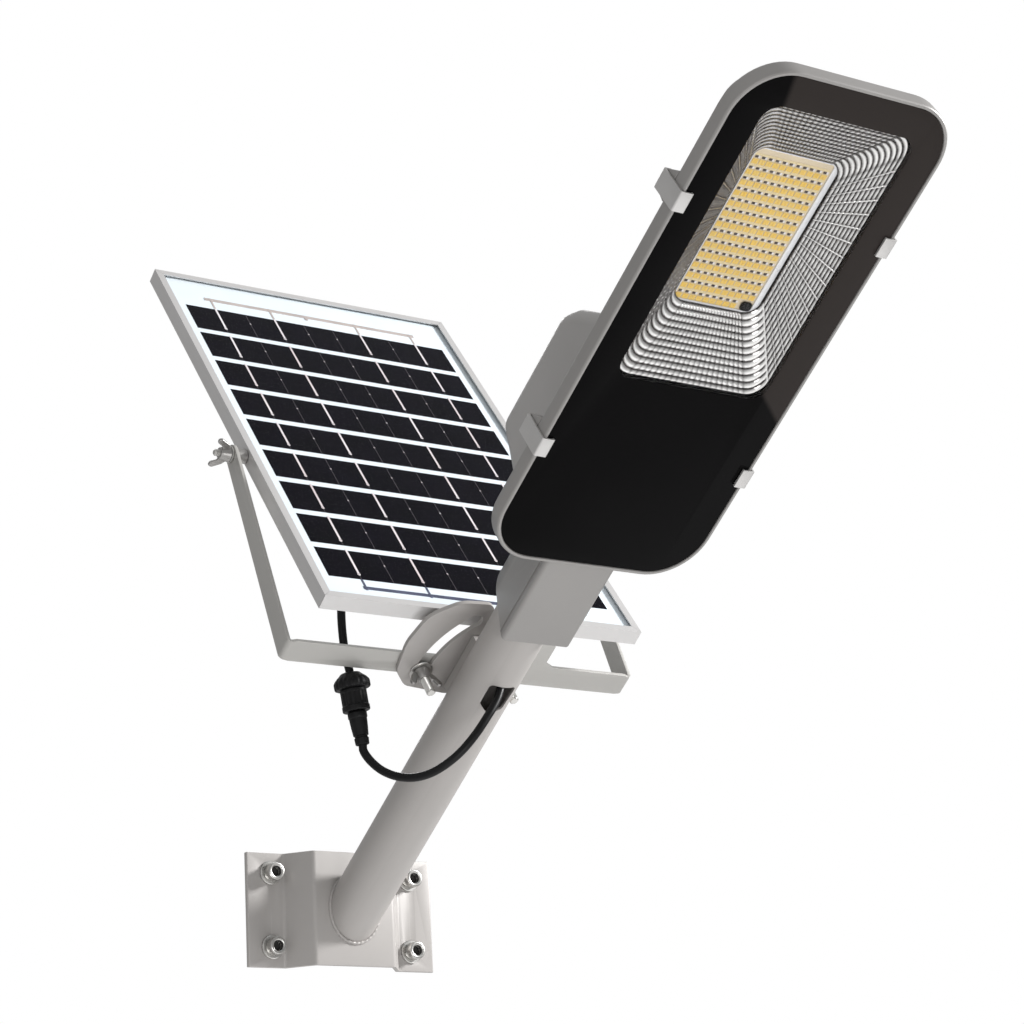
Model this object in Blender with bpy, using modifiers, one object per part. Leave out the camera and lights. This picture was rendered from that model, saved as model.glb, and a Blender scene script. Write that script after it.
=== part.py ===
"""Solar street lamp on a wall arm, with a tilting and swivelling solar panel.

The origin is the middle of the wall bracket's back face. The wall is the plane y = 0 and the
lamp reaches out along -Y, with +Z up. Lengths are written in millimetres and every helper
scales them by MM, so the finished geometry is in metres.
"""
import math

import bmesh
import bpy
from mathutils import Matrix, Vector

for old in list(bpy.data.objects):
    bpy.data.objects.remove(old, do_unlink=True)

MM = 0.001
GAP = 0.3

# Wall bracket: a folded hat section
BRACKET_HALF_WIDTH = 95.8
BRACKET_FOLD = 58.9
HAT_HALF_WIDTH = 40.9
HAT_DEPTH = 28.0
BRACKET_HALF_HEIGHT = 51.0
BRACKET_SHEET = 4.0
WALL_BOLT_X = 72.0
WALL_BOLT_Z = 33.0

# Arm: a straight tube that rises away from the wall
ARM_ANGLE = 34.0
TUBE_RADIUS = 25.0
TUBE_WALL = 2.0
TUBE_END = 432.0

# Swivel: a sector plate behind the tube and the yoke strap behind the plate
PIVOT_X = 42.0
PIVOT_A = 257.0
PLATE_FRONT = -33.0
PLATE_BACK = -37.0
STRAP_FRONT = PLATE_BACK - GAP
STRAP_BACK = STRAP_FRONT - 3.0
SLOT_RADIUS = 2 * PIVOT_X
SLOT_WIDTH = 13.0
SLOT_START = 180.0
SLOT_END = 134.0
BOLT_TIP = -5.0
M8 = 4.0
M6 = 3.0

# Yoke
YOKE_HALF_WIDTH = 174.5
STRAP_WIDTH = 22.0
STRAP_MIDDLE_A = 260.5
TILT_A = 300.1
TILT_N = -245.7

# Solar panel, measured from the tilt axis along and through the panel
PANEL_ANGLE = 53.0
PANEL_HALF_WIDTH = 160.2
PANEL_ABOVE = 292.5
PANEL_BELOW = 204.5
PANEL_BACK = -5.5
PANEL_FRONT = 8.5
JUNCTION_X = -109.0
GLAND_DEPTH = -12.0

# Lamp head, in arm coordinates: x across, a along the arm, n out of the glass
RIM_HALF_WIDTH = 101.5
RIM_LOW = 438.2
RIM_HIGH = 900.3
RIM_BACK = 17.5
RIM_FRONT = 33.7
GLASS_HALF_WIDTH = 98.0
GLASS_LOW = 442.0
GLASS_HIGH = 896.5
GLASS_BACK = 28.7
GLASS_FRONT = 32.7
LEDGE = 26.0
FLOOR = 3.0
SHELL_BACK = -6.0
WINDOW_HALF_WIDTH = 64.8
WINDOW_LOW = 629.8
WINDOW_HIGH = 865.7
BOARD_HALF_WIDTH = 38.4
BOARD_LOW = 686.9
BOARD_HIGH = 823.2
BOARD_FRONT = 5.9
SOCKET_HALF_WIDTH = 34.0
SOCKET_FRONT = 29.8
CLIP_A = (548.7, 779.5)
COVER_HALF_WIDTH = 72.0
COVER_WALL = 2.5
COVER_POSTS = ((-60, 512), (60, 512), (-60, 598), (60, 598))

# Leads and the connector that joins them
CORD_RADIUS = 3.6
CORD_BORE = CORD_RADIUS + 2 * GAP
CONNECTOR_TOP = (-102.1, -206.5, 167.3)
CONNECTOR_AXIS = (0.134, -0.039, -0.990)

# Finishes: colour, roughness, metallic
PAINT = ((0.55, 0.54, 0.53), 0.45, 0.2)
STRAP_PAINT = ((0.60, 0.60, 0.58), 0.42, 0.3)
TUBE_PAINT = ((0.56, 0.55, 0.54), 0.40, 0.3)
CASTING = ((0.36, 0.36, 0.37), 0.5, 0.3)
STEEL = ((0.42, 0.42, 0.43), 0.3, 1.0)
DARK_STEEL = ((0.16, 0.16, 0.17), 0.35, 1.0)
ALUMINIUM = ((0.68, 0.64, 0.62), 0.35, 0.9)
BLACK_GLASS = ((0.006, 0.006, 0.007), 0.08, 0.0)
CLEAR_GLASS = ((0.75, 0.80, 0.85), 0.05, 0.0)
SILICON = ((0.012, 0.022, 0.060), 0.25, 0.1)
BLACK_PLASTIC = ((0.02, 0.02, 0.022), 0.5, 0.0)
RUBBER = ((0.025, 0.025, 0.025), 0.8, 0.0)
MIRROR = ((0.80, 0.80, 0.80), 0.15, 1.0)
LED_YELLOW = ((0.85, 0.66, 0.16), 0.4, 0.0)
CIRCUIT = ((0.03, 0.20, 0.07), 0.4, 0.0)
BATTERY_WRAP = ((0.05, 0.16, 0.42), 0.4, 0.0)

parts = bpy.data.collections.new("solar_street_lamp")
tools = bpy.data.collections.new("cutters")
bpy.context.scene.collection.children.link(parts)
bpy.context.scene.collection.children.link(tools)


# ---------------------------------------------------------------- frames
def frame(origin, z_axis, x_axis):
    """A placement with its local Z along z_axis and its local X along x_axis."""
    z = Vector(z_axis).normalized()
    x = Vector(x_axis)
    x = (x - z * x.dot(z)).normalized()
    matrix = Matrix((x, z.cross(x), z)).transposed().to_4x4()
    matrix.translation = Vector(origin) * MM
    return matrix


def at(place, x, y, z):
    """The world point, in millimetres, of a point in the given frame."""
    return place @ (Vector((x, y, z)) * MM) / MM


X = Vector((1, 0, 0))
slope = math.radians(ARM_ANGLE)
ALONG = Vector((0, -math.cos(slope), math.sin(slope)))
FACING = X.cross(ALONG)
ROOT_POINT = Vector((0, -HAT_DEPTH, 0))
WORLD = Matrix.Identity(4)
ARM = frame(ROOT_POINT, FACING, X)
TUBE = frame(ROOT_POINT, ALONG, X)
SIDE = frame(ROOT_POINT, X, ALONG)
tilt = math.radians(PANEL_ANGLE)
PANEL_DOWN = Vector((0, -math.cos(tilt), -math.sin(tilt)))
PANEL_NORMAL = X.cross(-PANEL_DOWN)
TILT_POINT = at(ARM, 0, TILT_A, TILT_N)
PANEL = frame(TILT_POINT, PANEL_NORMAL, X)
CONNECTOR = frame(CONNECTOR_TOP, CONNECTOR_AXIS, X)


def along_arm(x, a, n=0.0, facing=FACING):
    """A frame at an arm point whose Z is the arm's facing direction, or the one given."""
    return frame(at(ARM, x, a, n), facing, X if abs(Vector(facing).x) < 0.5 else ALONG)


# ---------------------------------------------------------------- outlines
def arc(centre, radius, start, end, steps):
    """Points on an arc, angles in degrees."""
    sweep = [math.radians(start + (end - start) * i / steps) for i in range(steps + 1)]
    return [(centre[0] + radius * math.cos(t), centre[1] + radius * math.sin(t)) for t in sweep]


def rounded(corners, radius, steps=4):
    """A polygon with arcs at its corners; radius is one number or one for each corner."""
    radii = radius if isinstance(radius, (list, tuple)) else [radius] * len(corners)
    outline = []
    for i, corner in enumerate(corners):
        here = Vector(corner)
        if radii[i] == 0:
            outline.append(tuple(here))
            continue
        back = (Vector(corners[i - 1]) - here).normalized()
        ahead = (Vector(corners[(i + 1) % len(corners)]) - here).normalized()
        half = back.angle(ahead) / 2
        centre = here + (back + ahead).normalized() * (radii[i] / math.sin(half))
        first = here + back * (radii[i] / math.tan(half)) - centre
        last = here + ahead * (radii[i] / math.tan(half)) - centre
        start = math.degrees(math.atan2(first.y, first.x))
        sweep = math.degrees(math.atan2(last.y, last.x)) - start
        sweep = (sweep + 180) % 360 - 180
        outline += arc(centre, radii[i], start, start + sweep, steps)
    return outline


def rectangle(x0, x1, y0, y1, radius=0.0, steps=4):
    """A rectangle, with arcs at its corners when it has a radius."""
    corners = [(x0, y0), (x1, y0), (x1, y1), (x0, y1)]
    return rounded(corners, radius, steps) if radius else corners


def arc_slot(centre, radius, width, start, end, steps=10):
    """A slot bent round a centre, with round ends."""
    half = width / 2
    start_point = arc(centre, radius, start, start, 1)[0]
    end_point = arc(centre, radius, end, end, 1)[0]
    outline = arc(centre, radius + half, start, end, steps)
    outline += arc(end_point, half, end, end - 180, 6)[1:-1]
    outline += arc(centre, radius - half, end, start, steps)
    outline += arc(start_point, half, start + 180, start, 6)[1:-1]
    return outline


# ---------------------------------------------------------------- solids
def add_object(name, mesh, place):
    obj = bpy.data.objects.new(name, mesh)
    parts.objects.link(obj)
    obj.matrix_world = place
    return obj


def evaluated_mesh(obj):
    bpy.context.view_layer.update()
    graph = bpy.context.evaluated_depsgraph_get()
    return bpy.data.meshes.new_from_object(obj.evaluated_get(graph))


def weld(mesh, distance=0.000001):
    work = bmesh.new()
    work.from_mesh(mesh)
    bmesh.ops.remove_doubles(work, verts=work.verts, dist=distance)
    bmesh.ops.recalc_face_normals(work, faces=work.faces)
    work.to_mesh(mesh)
    work.free()


def mesh_from_curve(name, curve, place):
    """Turn a curve into a welded mesh object with the same placement."""
    source = add_object(name + "_curve", curve, place)
    mesh = evaluated_mesh(source)
    weld(mesh)
    mesh.name = name
    obj = add_object(name, mesh, source.matrix_world.copy())
    bpy.data.objects.remove(source, do_unlink=True)
    return obj


def smooth(obj, angle=35):
    obj.data.shade_smooth()
    obj.data.set_sharp_from_angle(angle=math.radians(angle))
    return obj


def flat(name, loops, low, high, place):
    """A flat outline with optional holes, extruded from low to high along local Z."""
    curve = bpy.data.curves.new(name, "CURVE")
    curve.dimensions = "2D"
    curve.fill_mode = "BOTH"
    curve.extrude = (high - low) / 2 * MM
    for loop in loops:
        spline = curve.splines.new("POLY")
        spline.points.add(len(loop) - 1)
        for point, (x, y) in zip(spline.points, loop):
            point.co = (x * MM, y * MM, 0, 1)
        spline.use_cyclic_u = True
    middle = Matrix.Translation((0, 0, (low + high) / 2 * MM))
    return smooth(mesh_from_curve(name, curve, place @ middle))


def turned(name, profile, steps, place, ring=False):
    """A profile of (radius, height) points turned about local Z, top to bottom outside."""
    mesh = bpy.data.meshes.new(name)
    edges = [(i, i + 1) for i in range(len(profile) - 1)]
    if ring:
        edges.append((len(profile) - 1, 0))
    mesh.from_pydata([(r * MM, 0, z * MM) for r, z in profile], edges, [])
    obj = add_object(name, mesh, place)
    screw = obj.modifiers.new("Turn", "SCREW")
    screw.steps = steps
    screw.render_steps = steps
    screw.use_merge_vertices = True
    screw.merge_threshold = 0.00001
    finished = evaluated_mesh(obj)
    obj.modifiers.clear()
    obj.data = finished
    weld(finished)
    return smooth(obj)


def bar(name, radius, low, high, place, steps=24):
    """A plain cylinder from low to high."""
    return turned(name, [(0, high), (radius, high), (radius, low), (0, low)], steps, place)


def washer(name, bore, radius, low, high, place, steps=18):
    profile = [(bore, high), (radius, high), (radius, low), (bore, low)]
    return turned(name, profile, steps, place, ring=True)


def block(name, x, y, z, place, bevel=0.0):
    """A cube scaled to three ranges, with rounded edges when bevel is given."""
    mesh = bpy.data.meshes.new(name)
    work = bmesh.new()
    bmesh.ops.create_cube(work, size=1.0)
    size = Vector((x[1] - x[0], y[1] - y[0], z[1] - z[0])) * MM
    middle = Vector((x[1] + x[0], y[1] + y[0], z[1] + z[0])) * MM / 2
    bmesh.ops.scale(work, vec=size, verts=work.verts)
    bmesh.ops.translate(work, vec=middle, verts=work.verts)
    work.to_mesh(mesh)
    work.free()
    obj = add_object(name, mesh, place)
    if bevel:
        round_edges(obj, bevel)
    return obj


def round_edges(obj, width, segments=2):
    """Merge each flat side into one face, then bevel the edges between sides."""
    work = bmesh.new()
    work.from_mesh(obj.data)
    bmesh.ops.dissolve_limit(work, angle_limit=0.001, verts=work.verts, edges=work.edges)
    work.to_mesh(obj.data)
    work.free()
    bevel = obj.modifiers.new("Rounded edges", "BEVEL")
    bevel.width = width * MM
    bevel.segments = segments
    bevel.limit_method = "ANGLE"
    bevel.angle_limit = math.radians(40)
    return obj


def loft(name, sections, place, ring=False):
    """A skin over sections of equal point count; a ring joins the last to the first."""
    mesh = bpy.data.meshes.new(name)
    work = bmesh.new()
    rows = [[work.verts.new(Vector(p) * MM) for p in section] for section in sections]
    pairs = list(zip(rows, rows[1:]))
    if ring:
        pairs.append((rows[-1], rows[0]))
    else:
        work.faces.new(rows[0])
        work.faces.new(rows[-1])
    for lower, upper in pairs:
        for i in range(len(lower)):
            j = (i + 1) % len(lower)
            work.faces.new((lower[i], lower[j], upper[j], upper[i]))
    bmesh.ops.recalc_face_normals(work, faces=work.faces)
    work.to_mesh(mesh)
    work.free()
    return smooth(add_object(name, mesh, place))


def tapered(name, levels, place, steps=5):
    """A loft of rounded rectangles, each (half width, low, high, radius, height)."""
    sections = []
    for half, low, high, radius, height in levels:
        outline = rectangle(-half, half, low, high, radius, steps)
        sections.append([(x, y, height) for x, y in outline])
    return loft(name, sections, place)


def combine(obj, operation, others):
    """Cut or join other objects, which become hidden tools that follow the piece."""
    bpy.context.view_layer.update()
    for other in others:
        modifier = obj.modifiers.new(other.name, "BOOLEAN")
        modifier.operation = operation
        modifier.solver = "EXACT"
        modifier.object = other
        parts.objects.unlink(other)
        tools.objects.link(other)
        other.hide_render = True
        other.display_type = "WIRE"
        placement = other.matrix_world.copy()
        other.parent = obj
        other.matrix_parent_inverse = obj.matrix_world.inverted()
        other.matrix_world = placement
    return obj


def cut(obj, *others):
    return combine(obj, "DIFFERENCE", others)


def join(obj, *others):
    return combine(obj, "UNION", others)


def finish(obj, look):
    """Give a piece its own Principled material."""
    colour, roughness, metallic = look
    material = bpy.data.materials.new(obj.name + "_finish")
    material.use_nodes = True
    shader = material.node_tree.nodes["Principled BSDF"]
    shader.inputs["Base Color"].default_value = (*colour, 1)
    shader.inputs["Roughness"].default_value = roughness
    shader.inputs["Metallic"].default_value = metallic
    obj.data.materials.clear()
    obj.data.materials.append(material)
    return obj


def hinge(name, place):
    """An empty on a joint's axis, which carries the pieces that turn about it."""
    empty = bpy.data.objects.new(name, None)
    empty.empty_display_size = 0.03
    parts.objects.link(empty)
    empty.matrix_world = place
    return empty


def carry(parent, *children):
    bpy.context.view_layer.update()
    for child in children:
        placement = child.matrix_world.copy()
        child.parent = parent
        child.matrix_parent_inverse = parent.matrix_world.inverted()
        child.matrix_world = placement


# ---------------------------------------------------------------- fasteners
def hexagon(name, across, low, high, place):
    """A six-sided prism with its size across the flats."""
    return bar(name, across / 2 / math.cos(math.radians(30)), low, high, place, steps=6)


def hex_bolt(name, radius, across, head_low, head_high, tip, place, look):
    """A hexagon head from head_low to head_high and a shank to a chamfered tip."""
    shank = turned(
        name,
        [(0, tip), (radius - 0.8, tip), (radius, tip - 0.8), (radius, head_low + 1), (0, head_low + 1)],
        16, place)
    head = hexagon(name + "_head", across, head_low, head_high, place)
    return finish(join(shank, head), look)


def hex_nut(name, bore, across, low, high, place, look):
    nut = hexagon(name, across, low, high, place)
    return finish(cut(nut, bar(name + "_bore", bore, low - 5, high + 5, place)), look)


def wing_nut(name, bore, scale, low, place):
    """A turned hub with two flaring wings, standing on local height low."""
    hub = turned(
        name,
        [(bore, low + 9 * scale), (5.2 * scale, low + 9 * scale), (5.8 * scale, low + 8 * scale),
         (7 * scale, low), (bore, low)],
        18, place, ring=True)
    corners = [(4.6, 0.8), (7.4, 0.8), (10.5, 3.4), (14.6, 11.4), (13.6, 14.8), (10.2, 14.0),
               (7.6, 8.6), (4.6, 8.2)]
    radii = [0, 0, 3, 2, 1.6, 2, 2, 0]
    wing = rounded([(x * scale, y * scale) for x, y in corners], [r * scale for r in radii], 3)
    for sign in (1, -1):
        x_axis = place.to_3x3() @ Vector((sign, 0, 0))
        z_axis = place.to_3x3() @ Vector((0, -sign, 0))
        upright = frame(place.translation / MM + place.to_3x3() @ Vector((0, 0, low)), z_axis, x_axis)
        join(hub, flat(f"{name}_wing_{sign}", [wing], -1.3 * scale, 1.3 * scale, upright))
    return finish(hub, DARK_STEEL)


def cap_screw(name, radius, head_radius, head, tip, hexagon_across, place, steps):
    """A socket-head screw: head is (bottom, top) of the cylinder head, tip the shank's end."""
    bottom, top = head
    profile = [(0, top), (head_radius - 0.6, top), (head_radius, top - 0.6), (head_radius, bottom),
               (radius, bottom), (radius, tip + 1), (radius - 1, tip), (0, tip)]
    screw = turned(name, profile, steps, place)
    recess = hexagon(name + "_recess", hexagon_across, top - 0.5 * (top - bottom), top + 2, place)
    return finish(cut(screw, recess), STEEL)


# ---------------------------------------------------------------- wall bracket
hat = [(-BRACKET_HALF_WIDTH, 0), (-BRACKET_HALF_WIDTH, -BRACKET_SHEET),
       (-BRACKET_FOLD, -BRACKET_SHEET), (-HAT_HALF_WIDTH, -HAT_DEPTH)]
hat += [(-x, y) for x, y in reversed(hat)]
inside = [(BRACKET_FOLD - 2, 0), (HAT_HALF_WIDTH - 2, BRACKET_SHEET - HAT_DEPTH)]
hat += inside + [(-x, y) for x, y in reversed(inside)]
bracket = flat(
    "wall_bracket",
    [rounded(hat, [0, 1.5, 5, 5, 5, 5, 1.5, 0, 2, 2, 2, 2], 3)],
    -BRACKET_HALF_HEIGHT, BRACKET_HALF_HEIGHT, WORLD)
wall_spots = [(-WALL_BOLT_X, WALL_BOLT_Z), (WALL_BOLT_X, WALL_BOLT_Z),
              (-WALL_BOLT_X, -WALL_BOLT_Z), (WALL_BOLT_X, -WALL_BOLT_Z)]
for number, (x, z) in enumerate(wall_spots, 1):
    spot = frame((x, 0, z), (0, -1, 0), X)
    cut(bracket, bar(f"wall_hole_{number}", 5.5, -5, 12, spot))
    ring = washer(f"wall_washer_{number}", 5.3, 10.5, BRACKET_SHEET + GAP, BRACKET_SHEET + 2.3, spot)
    finish(ring, STEEL)
    cap_screw(f"wall_bolt_{number}", 5.0, 8.0, (6.6, 16.6), -30, 8.0, spot, 18)
finish(bracket, PAINT)

# ---------------------------------------------------------------- arm tube
tube = turned(
    "arm_tube",
    [(TUBE_RADIUS - TUBE_WALL, TUBE_END), (TUBE_RADIUS, TUBE_END), (TUBE_RADIUS, -30),
     (TUBE_RADIUS - TUBE_WALL, -30)],
    40, TUBE, ring=True)
entry = [(-13, 296), (12, 297), (9.5, 272), (-4, 266.5), (-13, 274)]
cut(tube,
    block("tube_foot", (-60, 60), (-HAT_DEPTH - GAP, 60), (-80, 80), WORLD),
    flat("tube_entry", [rounded(entry, 4, 4)], 14, 35, ARM))
finish(tube, TUBE_PAINT)

# ---------------------------------------------------------------- swivel plate
cradle = [(x, math.sqrt((TUBE_RADIUS + GAP) ** 2 - x * x)) for x in range(-12, 13, 3)]
cradle += [(12, -PLATE_FRONT - GAP), (-12, -PLATE_FRONT - GAP)]
finish(flat("plate_spacer", [cradle], 242, 302, TUBE), PAINT)

pivot = (PIVOT_X, PIVOT_A)
plate_corners = [(-8, 337), (-38, 335), (-62, 317), (-69, 285), (-64, 253), (-50, 239), (-8, 234.5),
                 (55, 244), (55, 270), (27, 276), (10, 305)]
plate_outline = rounded(plate_corners, [9, 28, 28, 40, 16, 14, 30, 11, 11, 12, 30], 4)
plate = flat(
    "sector_plate",
    [plate_outline, arc_slot(pivot, SLOT_RADIUS, SLOT_WIDTH, SLOT_START, SLOT_END),
     arc(pivot, M8 + GAP, 0, 345, 23)],
    PLATE_BACK, PLATE_FRONT, ARM)
finish(plate, PAINT)

PIVOT = along_arm(PIVOT_X, PIVOT_A)
SLOT_BOLT = along_arm(-PIVOT_X, PIVOT_A)
head_low = STRAP_BACK - GAP - 5.4
head_high = STRAP_BACK - GAP
hex_bolt("pivot_bolt", M8, 13.0, head_low, head_high, BOLT_TIP, PIVOT, STEEL)
pivot_washer = washer("pivot_washer", M8 + GAP, 9.0, PLATE_FRONT + GAP, PLATE_FRONT + 1.9, PIVOT)
finish(pivot_washer, STEEL)
hex_nut("pivot_nut", M8 + GAP, 13.0, PLATE_FRONT + 2.2, PLATE_FRONT + 8.7, PIVOT, STEEL)

# ---------------------------------------------------------------- yoke
yoke_axis = hinge("yoke_axis", PIVOT)
crossbar_low = STRAP_MIDDLE_A - STRAP_WIDTH / 2
crossbar_high = STRAP_MIDDLE_A + STRAP_WIDTH / 2
strap_corners = [(-YOKE_HALF_WIDTH, crossbar_low), (YOKE_HALF_WIDTH, crossbar_low),
                 (YOKE_HALF_WIDTH, crossbar_high), (89, crossbar_high), (79, 278), (79, 300),
                 (8, 300), (8, crossbar_high), (-YOKE_HALF_WIDTH, crossbar_high)]
strap = flat(
    "yoke_strap",
    [rounded(strap_corners, [0, 0, 0, 3, 3, 6, 6, 0, 0], 3),
     arc(pivot, M8 + GAP, 0, 345, 23), arc((-PIVOT_X, PIVOT_A), M8 + GAP, 0, 345, 23)],
    STRAP_BACK, STRAP_FRONT, ARM)
lean = Vector((TILT_A - STRAP_MIDDLE_A, TILT_N - STRAP_FRONT))
lean_angle = math.degrees(math.atan2(lean.y, lean.x))
edge_shift = STRAP_WIDTH / 2 / math.sin(math.radians(-lean_angle))
arm_outline = [(STRAP_MIDDLE_A - edge_shift, STRAP_FRONT), (STRAP_MIDDLE_A + edge_shift, STRAP_FRONT)]
arm_outline += arc((TILT_A, TILT_N), STRAP_WIDTH / 2, lean_angle + 90, lean_angle - 90, 12)
tilt_hole = arc((TILT_A, TILT_N), M6 + 0.4, 0, 340, 17)
for sign in (-1, 1):
    sides = sorted((sign * YOKE_HALF_WIDTH, sign * (YOKE_HALF_WIDTH - 3)))
    join(strap, flat(f"yoke_side_{sign}", [arm_outline, tilt_hole], sides[0], sides[1], SIDE))
finish(strap, STRAP_PAINT)
slot_bolt = hex_bolt("slot_bolt", M8, 13.0, head_low, head_high, BOLT_TIP, SLOT_BOLT, STEEL)
slot_washer = washer("slot_washer", M8 + GAP, 10.5, PLATE_FRONT + GAP, PLATE_FRONT + 1.9, SLOT_BOLT)
finish(slot_washer, STEEL)
slot_nut_axis = hinge("slot_nut_axis", SLOT_BOLT)
slot_nut = wing_nut("slot_wing_nut", M8 + GAP, 1.06, PLATE_FRONT + 2.2, SLOT_BOLT)
carry(slot_nut_axis, slot_nut)
carry(yoke_axis, strap, slot_bolt, slot_washer, slot_nut_axis)

# ---------------------------------------------------------------- panel
panel_axis = hinge("panel_axis", PANEL)
rail_section = [(0, PANEL_BACK), (12, PANEL_BACK), (12, -4.0), (1.6, -4.0), (1.6, 3.4), (7, 3.4),
                (7, 4.4), (1.6, 4.4), (1.6, 7.4), (7, 7.4), (7, PANEL_FRONT), (0, PANEL_FRONT)]
left_top = Vector((-PANEL_HALF_WIDTH, PANEL_ABOVE))
right_top = Vector((PANEL_HALF_WIDTH, PANEL_ABOVE))
left_bottom = Vector((-PANEL_HALF_WIDTH, -PANEL_BELOW))
right_bottom = Vector((PANEL_HALF_WIDTH, -PANEL_BELOW))


def rail(name, start, end):
    """A frame rail between two outer corners, mitred at both ends, the inside on its left."""
    run = (end - start).normalized()
    inward = Vector((-run.y, run.x))
    sections = []
    for corner, back in ((start, run), (end, -run)):
        section = []
        for inset, depth in rail_section:
            point = corner + inward * inset + back * (inset + GAP / 2)
            section.append((point.x, point.y, depth))
        sections.append(section)
    return finish(loft(name, sections, PANEL), ALUMINIUM)


rails = [rail("frame_rail_bottom", left_bottom, right_bottom),
         rail("frame_rail_right", right_bottom, right_top),
         rail("frame_rail_top", right_top, left_top),
         rail("frame_rail_left", left_top, left_bottom)]
pane = [rectangle(-PANEL_HALF_WIDTH + 2.2, PANEL_HALF_WIDTH - 2.2, -PANEL_BELOW + 2.2, PANEL_ABOVE - 2.2)]
cell_sheet = finish(flat("cell_sheet", pane, 4.7, 5.2, PANEL), SILICON)
panel_glass = finish(flat("panel_glass", pane, 5.5, 7.1, PANEL), CLEAR_GLASS)
carry(panel_axis, cell_sheet, panel_glass, *rails)

for side, sign, side_rail in (("left", -1, rails[3]), ("right", 1, rails[1])):
    axle = frame(TILT_POINT, (sign, 0, 0), PANEL_NORMAL)
    cut(side_rail, bar(f"rail_hole_{side}", M6 + GAP, 150, 170, axle))
    bolt = turned(
        f"side_bolt_{side}",
        [(0, 191), (M6 - 0.6, 191), (M6, 190.4), (M6, 156), (0, 156)], 16, axle)
    join(bolt, block(f"side_bolt_head_{side}", (-3, 3), (-6, 6), (154.6, 158.2), axle))
    finish(bolt, STEEL)
    spacer = finish(washer(f"side_spacer_{side}", M6 + GAP, 6.5, 160.5, 171.2, axle), BLACK_PLASTIC)
    ring = finish(washer(f"side_washer_{side}", M6 + GAP, 7.5, 174.8, 176.4, axle), STEEL)
    nut = wing_nut(f"side_wing_nut_{side}", M6 + GAP, 1.0, 176.7, axle)
    nut_axis = hinge(f"side_nut_axis_{side}", axle)
    carry(nut_axis, nut)
    carry(panel_axis, bolt)
    carry(yoke_axis, spacer, ring, nut_axis)

box_x = (JUNCTION_X - 26, JUNCTION_X + 26)
junction_box = block("junction_box", box_x, (-96, -52), (-20, 4.4), PANEL, bevel=2.0)
cut(junction_box,
    block("junction_space", (box_x[0] + 2.5, box_x[1] - 2.5), (-93.5, -54.5), (-24, 1.5), PANEL))
cut(junction_box,
    bar("junction_hole", 4.5, 90, 100, frame(at(PANEL, JUNCTION_X, 0, GLAND_DEPTH), PANEL_DOWN, X)))
finish(junction_box, BLACK_PLASTIC)
junction_lid = block("junction_lid", box_x, (-96, -52), (-22.8, -20.3), PANEL, bevel=0.8)
finish(junction_lid, BLACK_PLASTIC)
GLAND = frame(at(PANEL, JUNCTION_X, -96 - GAP, GLAND_DEPTH), PANEL_DOWN, X)
gland = turned(
    "lead_gland",
    [(CORD_BORE, 18), (5.5, 18), (7.0, 15), (7.0, 8), (8.2, 8), (8.2, 0), (CORD_BORE, 0)],
    24, GLAND, ring=True)
finish(gland, BLACK_PLASTIC)
carry(panel_axis, junction_box, junction_lid, gland)
carry(yoke_axis, panel_axis)

# ---------------------------------------------------------------- connector
connector_nut = turned(
    "connector_nut",
    [(CORD_BORE, 0), (8.5, 0), (12.5, 2.2), (15.5, 7), (15.5, 13), (14.3, 14), (CORD_BORE, 14)][::-1],
    32, CONNECTOR, ring=True)
finish(connector_nut, BLACK_PLASTIC)
connector_socket = turned(
    "connector_socket",
    [(0, 33), (10.6, 33), (11.75, 31.5), (11.75, 14.3), (0, 14.3)],
    32, CONNECTOR)
finish(connector_socket, BLACK_PLASTIC)
connector_plug = turned(
    "connector_plug",
    [(0, 50), (CORD_BORE, 50), (CORD_BORE, 62), (5.6, 62), (6.6, 55), (7.5, 54), (7.5, 33.3), (0, 33.3)],
    28, CONNECTOR)
finish(connector_plug, BLACK_PLASTIC)
carry(yoke_axis, connector_nut, connector_socket, connector_plug)


# ---------------------------------------------------------------- leads
def smooth_route(points, spacing):
    """Evenly spaced points on a smooth curve through the route's points."""
    knots = [Vector(p) for p in points]
    knots = [knots[0] * 2 - knots[1]] + knots + [knots[-1] * 2 - knots[-2]]
    dense = []
    for before, start, end, after in zip(knots, knots[1:], knots[2:], knots[3:]):
        for i in range(16):
            t = i / 16
            lead_in = (end - before) / 2
            lead_out = (after - start) / 2
            dense.append((2 * t**3 - 3 * t**2 + 1) * start + (t**3 - 2 * t**2 + t) * lead_in
                         + (-2 * t**3 + 3 * t**2) * end + (t**3 - t**2) * lead_out)
    dense.append(knots[-2])
    lengths = [(b - a).length for a, b in zip(dense, dense[1:])]
    count = round(sum(lengths) / spacing)
    step = sum(lengths) / count
    route = [dense[0]]
    walked = 0.0
    for a, b, length in zip(dense, dense[1:], lengths):
        while len(route) < count and walked + length >= step * len(route):
            route.append(a.lerp(b, (step * len(route) - walked) / length))
        walked += length
    return route + [dense[-1]]


def lead(name, points):
    """A cord along a smooth route, with closed ends."""
    route = smooth_route(points, 5 * CORD_RADIUS)
    curve = bpy.data.curves.new(name, "CURVE")
    curve.dimensions = "3D"
    curve.bevel_depth = CORD_RADIUS * MM
    curve.bevel_resolution = 3
    curve.use_fill_caps = True
    spline = curve.splines.new("POLY")
    spline.points.add(len(route) - 1)
    for point, place in zip(spline.points, route):
        point.co = (*(place * MM), 1)
    return finish(smooth(mesh_from_curve(name, curve, WORLD)), RUBBER)


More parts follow.
